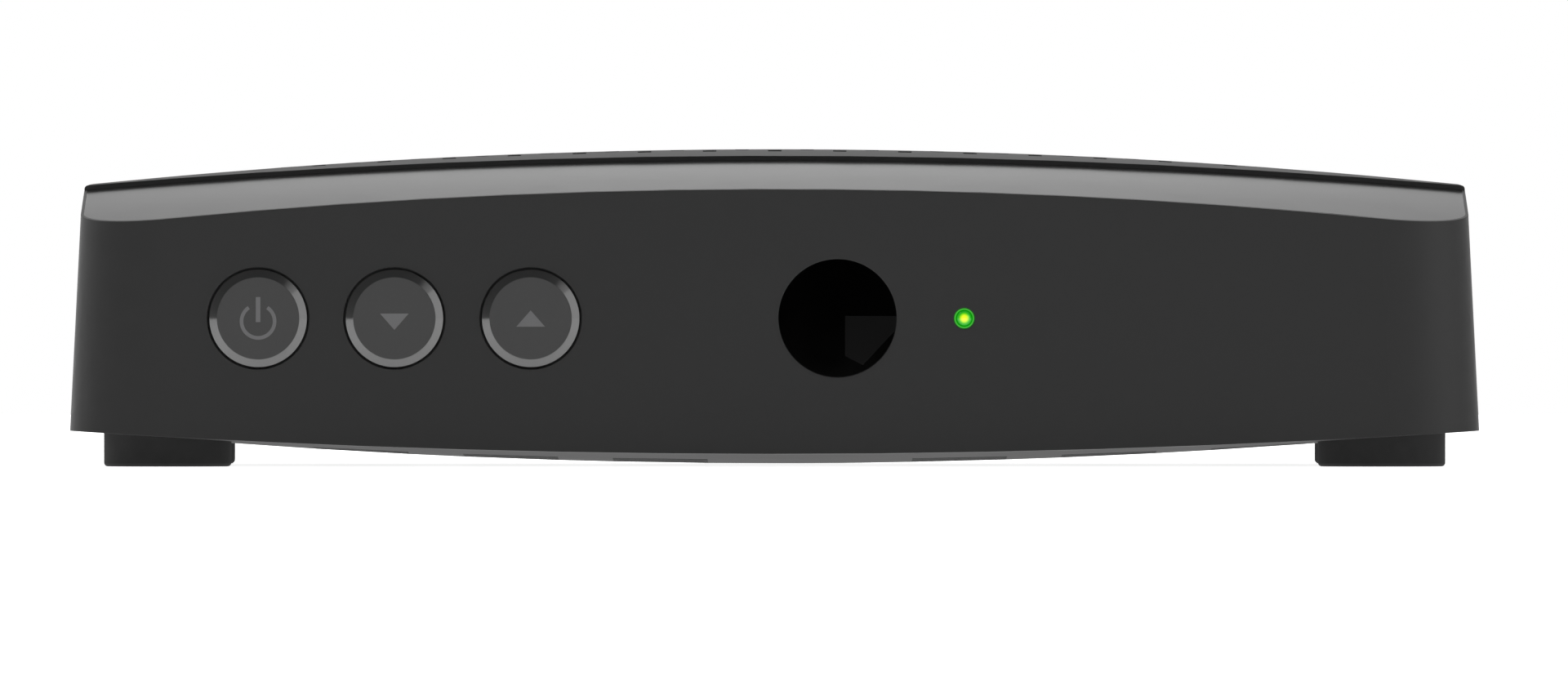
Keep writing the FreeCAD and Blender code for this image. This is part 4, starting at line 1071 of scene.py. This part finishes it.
# %% [markdown]
# The network socket has two small lamps in its upper corners, one for the link and one for the traffic. They
# are the ends of light guides: green plastic with rounded corners, flush with the face of the socket. No
# cable is plugged in, so they are dark, and get a hazy green of their own instead of the lit lamp's finish.

# %% Lamps of the network socket
def guide_plastic(name):
    finish = Finish(name)
    haze = noise(finish, 0.8, detail=3.0)
    return finish.end({
        "Base Color": mix(finish, haze, tint(62, 112, 66), tint(92, 148, 92)),
        "Roughness": 0.14 + haze * 0.08,
        "Normal": bump(finish, haze, 0.004, edge_mm=0.15),
    })


guide_size = Vector((2.9, 1.2, 1.5)) * MM
guide_shift = 5.6 * MM                  # from the middle of the socket to each side
guide_drop = 1.35 * MM                  # from its top to the middle of a lamp
guide_proud = 0.08 * MM
_, network_high, network_middle = measure("ethernet_socket")
guide_y = network_high.y - guide_size.y / 2 + guide_proud
guide_places = [
    (network_middle.x + side * guide_shift, guide_y, network_high.z - guide_drop) for side in (-1, 1)
]
add_piece(
    "network_lamps", bars(guide_places, guide_size), "lamp_green", material=guide_plastic("lamp_guide")
)

# %% [markdown]
# ## Parts of the board
# Through the vents the parts on the main board can be made out. The supply's capacitors are aluminium cans
# in a dark sleeve: the can is crimped near its foot, and its bare top is scored with a cross, along which it
# opens if it fails. A lathe can't cut a cross, so the sleeve is turned, and the top is a disc of its own,
# into which a shallow cross is sunk as in the screws.

# %% Dress the capacitors
sleeve_shape = (                        # share of the radius, height in mm over the board
    (0.0, 0.0), (0.92, 0.0), (1.0, 0.35), (1.0, 1.2), (0.93, 1.6), (1.0, 2.0),
)
sleeve_end = (                          # share of the radius, depth in mm under the top
    (1.0, 0.6), (0.97, 0.2), (0.90, 0.0), (0.84, 0.0), (0.84, 0.25), (0.0, 0.25),
)
top_share = 0.83                        # shares of the can's radius
score_share = 0.55
top_thickness = 0.16 * MM
top_drop = 0.06 * MM                    # below the end of the sleeve
for number, (low, high) in enumerate(islands("capacitors"), 1):
    middle = (low + high) / 2
    radius = (high.x - low.x) / 2
    profile = [(share * radius, low.z + up * MM) for share, up in sleeve_shape]
    profile += [(share * radius, high.z - down * MM) for share, down in sleeve_end]
    points = [(middle.x + r, middle.y, z) for r, z in profile]
    sleeve = turn(points, (middle.x, middle.y, 0), (0, 0, 1), steps=48)
    sleeve_name = "capacitor_sleeve_" + str(number)
    add_piece(sleeve_name, sleeve, "can_sleeve", stands_for=["capacitors"], smooth_angle=35)
    top = bmesh.new()
    top_radius = top_share * radius
    bmesh.ops.create_circle(top, cap_ends=True, segments=40, radius=top_radius)
    sink_cross(top, half_width=0.12 * MM, reach=score_share * radius, depth=0.08 * MM, taper=0.98)
    draw_rim(top, top_radius, 0, [(top_radius, -top_thickness)])
    bmesh.ops.translate(top, verts=top.verts, vec=(middle.x, middle.y, high.z - top_drop))
    add_piece("capacitor_top_" + str(number), top, "aluminium", smooth_angle=25)

# %% [markdown]
# The supply's two coils are wound on a ferrite drum inside an open ferrite frame. The frame is a block whose
# upright edges are cut off, with a round well in its top. A Boolean modifier could cut the well, but leaves
# an untidy mesh, so the frame grows out of the well: a disc is pushed down to make the well's floor and
# wall, its upper edge is extruded level, each new corner is moved out to a side of the block or to a cut-off
# edge, and that outline is extruded down.

# %% Shape the coils
well_share = 0.42                       # radius of the well, as a share of the frame's width
well_depth = 0.5 * MM
cut_share = 1.62                        # on a cut-off edge, x and y add up to this share of half the width
level_tolerance = 0.01 * MM
for number, (low, high) in enumerate(islands("power_coils"), 1):
    middle = (low + high) / 2
    width = high.x - low.x
    coil_frame = bmesh.new()
    bmesh.ops.create_circle(
        coil_frame, cap_ends=True, segments=32, radius=well_share * width,
        matrix=Matrix.Translation((middle.x, middle.y, high.z)),
    )
    well_rim = coil_frame.edges[:]
    floor = bmesh.ops.extrude_face_region(coil_frame, geom=coil_frame.faces[:])["geom"]
    bmesh.ops.translate(coil_frame, verts=vertices_of(floor), vec=(0, 0, -well_depth))
    lid = [face for face in coil_frame.faces if face.calc_center_median().z > high.z - level_tolerance]
    bmesh.ops.delete(coil_frame, geom=lid, context="FACES_ONLY")
    level = bmesh.ops.extrude_edge_only(coil_frame, edges=well_rim)["geom"]
    for vertex in vertices_of(level):
        across, along = vertex.co.x - middle.x, vertex.co.y - middle.y
        spread = max(abs(across), abs(along), (abs(across) + abs(along)) / cut_share)
        vertex.co.x = middle.x + across * width / 2 / spread
        vertex.co.y = middle.y + along * width / 2 / spread
    sides = bmesh.ops.extrude_edge_only(coil_frame, edges=open_edges(level))["geom"]
    bmesh.ops.translate(coil_frame, verts=vertices_of(sides), vec=(0, 0, low.z - high.z))
    bmesh.ops.edgeloop_fill(coil_frame, edges=open_edges(sides))
    bmesh.ops.recalc_face_normals(coil_frame, faces=coil_frame.faces)
    coil_name = "coil_frame_" + str(number)
    add_piece(coil_name, coil_frame, "chip_black", stands_for=["power_coils"], smooth_angle=25)

# %% [markdown]
# Between the larger parts a board carries scores of resistors and capacitors about 2 mm long. They are set
# down at random, along or across the board, and kept clear of the larger parts and of each other. The random
# numbers come from a fixed seed, so that the board is the same each time.

# %% Find places for the small parts
board_low, board_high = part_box("main_board")
board_margin = 3 * MM
standing_tolerance = 0.1 * MM
standing = [box for box in map(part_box, nodes) if abs(box[0].z - board_high.z) < standing_tolerance]
standing += islands("board_screws") + [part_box("heat_sink")]
small_part_count = 110
clear_gap = 1.8 * MM
small_part_gap = 3.0 * MM
seed = 7
chance = random.Random(seed)
small_parts = []
while len(small_parts) < small_part_count:
    x = chance.uniform(board_low.x + board_margin, board_high.x - board_margin)
    y = chance.uniform(board_low.y + board_margin, board_high.y - board_margin)
    lengthwise = chance.random() < 0.5
    under_larger = any(
        low.x - clear_gap < x < high.x + clear_gap and low.y - clear_gap < y < high.y + clear_gap
        for low, high in standing
    )
    near_other = any(
        abs(x - other_x) < small_part_gap and abs(y - other_y) < small_part_gap
        for other_x, other_y, _ in small_parts
    )
    if not under_larger and not near_other:
        small_parts.append((x, y, lengthwise))
print("small parts:", len(small_parts), "between", len(standing), "larger ones")

# %% [markdown]
# A small part is a dark body between two tinned ends. A hundred objects would be a burden, so the bars are
# gathered in four meshes: bodies and ends, which differ in finish, of the parts that lie along the board and
# of those that lie across it.

# %% Set the small parts
body_size = (1.3 * MM, 1.2 * MM, 0.58 * MM)
end_size = (0.4 * MM, 1.26 * MM, 0.62 * MM)
end_step = 0.8 * MM                     # from the middle of a part to the middle of its ends
for along, word in ((True, "along"), (False, "across")):
    step = Vector((0, end_step, 0)) if along else Vector((end_step, 0, 0))
    order = (1, 0, 2) if along else (0, 1, 2)
    middles = [
        Vector((x, y, board_high.z + end_size[2] / 2))
        for x, y, lengthwise in small_parts if lengthwise == along
    ]
    ends = [middle + shift for middle in middles for shift in (-step, step)]
    body_bars = bars(middles, [body_size[axis] for axis in order])
    add_piece("small_bodies_" + word, body_bars, "chip_black")
    end_bars = bars(ends, [end_size[axis] for axis in order])
    add_piece("small_ends_" + word, end_bars, "tin_plate")

# %% [markdown]
# The flash chip stands on two rows of thin bent leads. Each lead comes out of the body, goes down and ends
# in a foot on the board. A strip extruded round both bends would be truer close up, but at half a millimetre
# three small bars that run into each other look the same.

# %% Leads of the flash chip
leads_in_row = 22
lead_pitch = 0.5 * MM
lead_width = 0.22 * MM
lead_thickness = 0.13 * MM
lead_run = 0.5 * MM
lead_rise = 0.6 * MM
lead_steps = (                          # each bar's middle, as shares of the run and of the rise
    (0.2, 0.9), (0.6, 0.5), (1.0, 0.12),
)
chip_low, chip_high, chip_middle = measure("flash_chip")
lead_places = [
    (x, body_end + outward * run_share * lead_run, board_high.z + rise_share * lead_rise)
    for body_end, outward in ((chip_low.y, -1), (chip_high.y, 1))
    for x in row(chip_middle.x, lead_pitch, leads_in_row)
    for run_share, rise_share in lead_steps
]
level_bar = (lead_width, lead_run, lead_thickness)
upright_bar = (lead_width, lead_thickness, lead_rise)
leads = bars(lead_places, level_bar, upright_bar, level_bar)
add_piece("flash_chip_leads", leads, "tin_plate")

# %% [markdown]
# ## Table and light
# The receiver stands on a pale table top in a white studio. The table is a wide disc, which has no corners
# to come into view, with the faintest clouds in its white. It glows as well as reflects, so that it stays as
# white as the wall behind it.

# %% Table top
table_radius = 3.0
table = bmesh.new()
bmesh.ops.create_circle(table, cap_ends=True, segments=96, radius=table_radius)
table_mesh = bpy.data.meshes.new("table_top")
table.to_mesh(table_mesh)
table.free()
table_finish = Finish("table_white")
table_clouds = noise(table_finish, 120.0, detail=2.0)
table_mesh.materials.append(table_finish.end({
    "Base Color": mix(table_finish, table_clouds, tint(246, 246, 246), tint(250, 250, 250)),
    "Roughness": 0.7,
    "Emission Color": (1.0, 1.0, 1.0, 1.0),
    "Emission Strength": 0.85,
}))
table_top = bpy.data.objects.new("table_top", table_mesh)
bpy.context.scene.collection.objects.link(table_top)
print("table", 2 * table_radius, "m across")

# %% [markdown]
# The plastics are nearly black, so what is seen on them is mostly the studio's reflection. The walls are
# bright behind and beside the receiver and dimmer above and on the right. The wall in front of it is dark,
# and darkest straight behind the camera, which keeps the front face black, and only its right end is bright.
# A panorama image could light it so, but smooth ramps over the direction of a ray can be tuned one by one.
# The camera itself sees plain white.

# %% Studio walls
world = bpy.data.worlds.new("white_studio")
bpy.context.scene.world = world
world.use_nodes = True
studio = Graph(world.node_tree)
direction = studio.node("ShaderNodeTexCoord", output="Generated")


def towards(axis):
    """How far a ray goes along an axis, from -1 to 1."""
    return studio.node(
        "ShaderNodeVectorMath", {"operation": "DOT_PRODUCT"}, {0: direction, 1: axis}, "Value"
    )


def ramp(value, start, end, low, high):
    """Runs smoothly from low to high while the value goes from start to end."""
    return studio.node(
        "ShaderNodeMapRange", {"interpolation_type": "SMOOTHSTEP"},
        {"Value": value, "From Min": start, "From Max": end, "To Min": low, "To Max": high},
    )


def blend(share, first, second):
    """A brightness between two."""
    return studio.node(
        "ShaderNodeMix", {"data_type": "FLOAT"}, {"Factor": share, "A": first, "B": second}, "Result"
    )


right, front, up = towards((1, 0, 0)), towards((0, -1, 0)), towards((0, 0, 1))
dim_above = ramp(up, 0.25, 0.70, 1.0, 0.75)
dim_right = ramp(right, 0.2, 0.8, 1.0, 0.4)
walls = ramp(front, -0.1, 0.5, 1.0, 0.25) * dim_above * dim_right
front_wall = ramp(right, 0.45, 0.62, 0.03, 0.85)
in_front = ramp(front, 0.30, 0.50, 0.0, 1.0)
behind_camera = ramp(front, 0.90, 0.99, 1.0, 0.0)
lit = blend(in_front, walls, front_wall) * behind_camera
seen = studio.node("ShaderNodeLightPath", output="Is Camera Ray")
strength = blend(seen, lit, 1.0)
background = studio.node("ShaderNodeBackground", None, {"Color": (1, 1, 1, 1), "Strength": strength})
studio.node("ShaderNodeOutputWorld", None, {"Surface": background})
print("studio walls:", len(world.node_tree.nodes), "nodes")

# %% [markdown]
# Four soft lights fill the studio in: one overhead, one high on each side, which light the rounded corners
# and the upper edges, and a weak one low on the right, which lifts that side of the front. The Standard view
# transform then shows white as white, where the usual one would grey it.

# %% Soft lights
def soft_light(name, place, aim, size, power):
    """A square area light at a place, turned to the point that it lights."""
    data = bpy.data.lights.new(name, "AREA")
    data.size = size
    data.energy = power
    light = bpy.data.objects.new(name, data)
    light.location = place
    light.rotation_euler = (Vector(aim) - Vector(place)).to_track_quat("-Z", "Y").to_euler()
    bpy.context.scene.collection.objects.link(light)


soft_light("top_light", (0.0, 0.6, 1.6), (0, 0, 0), 1.6, 6.0)
soft_light("high_left_light", (-1.47, 0.30, 1.74), (0, 0, 0), 1.1, 14.0)
soft_light("high_right_light", (1.47, 0.30, 1.74), (0, 0, 0), 1.1, 9.0)
soft_light("right_light", (1.4, -1.0, 0.5), (0, 0, 0.02), 0.9, 2.0)
bpy.context.scene.view_settings.view_transform = "Standard"
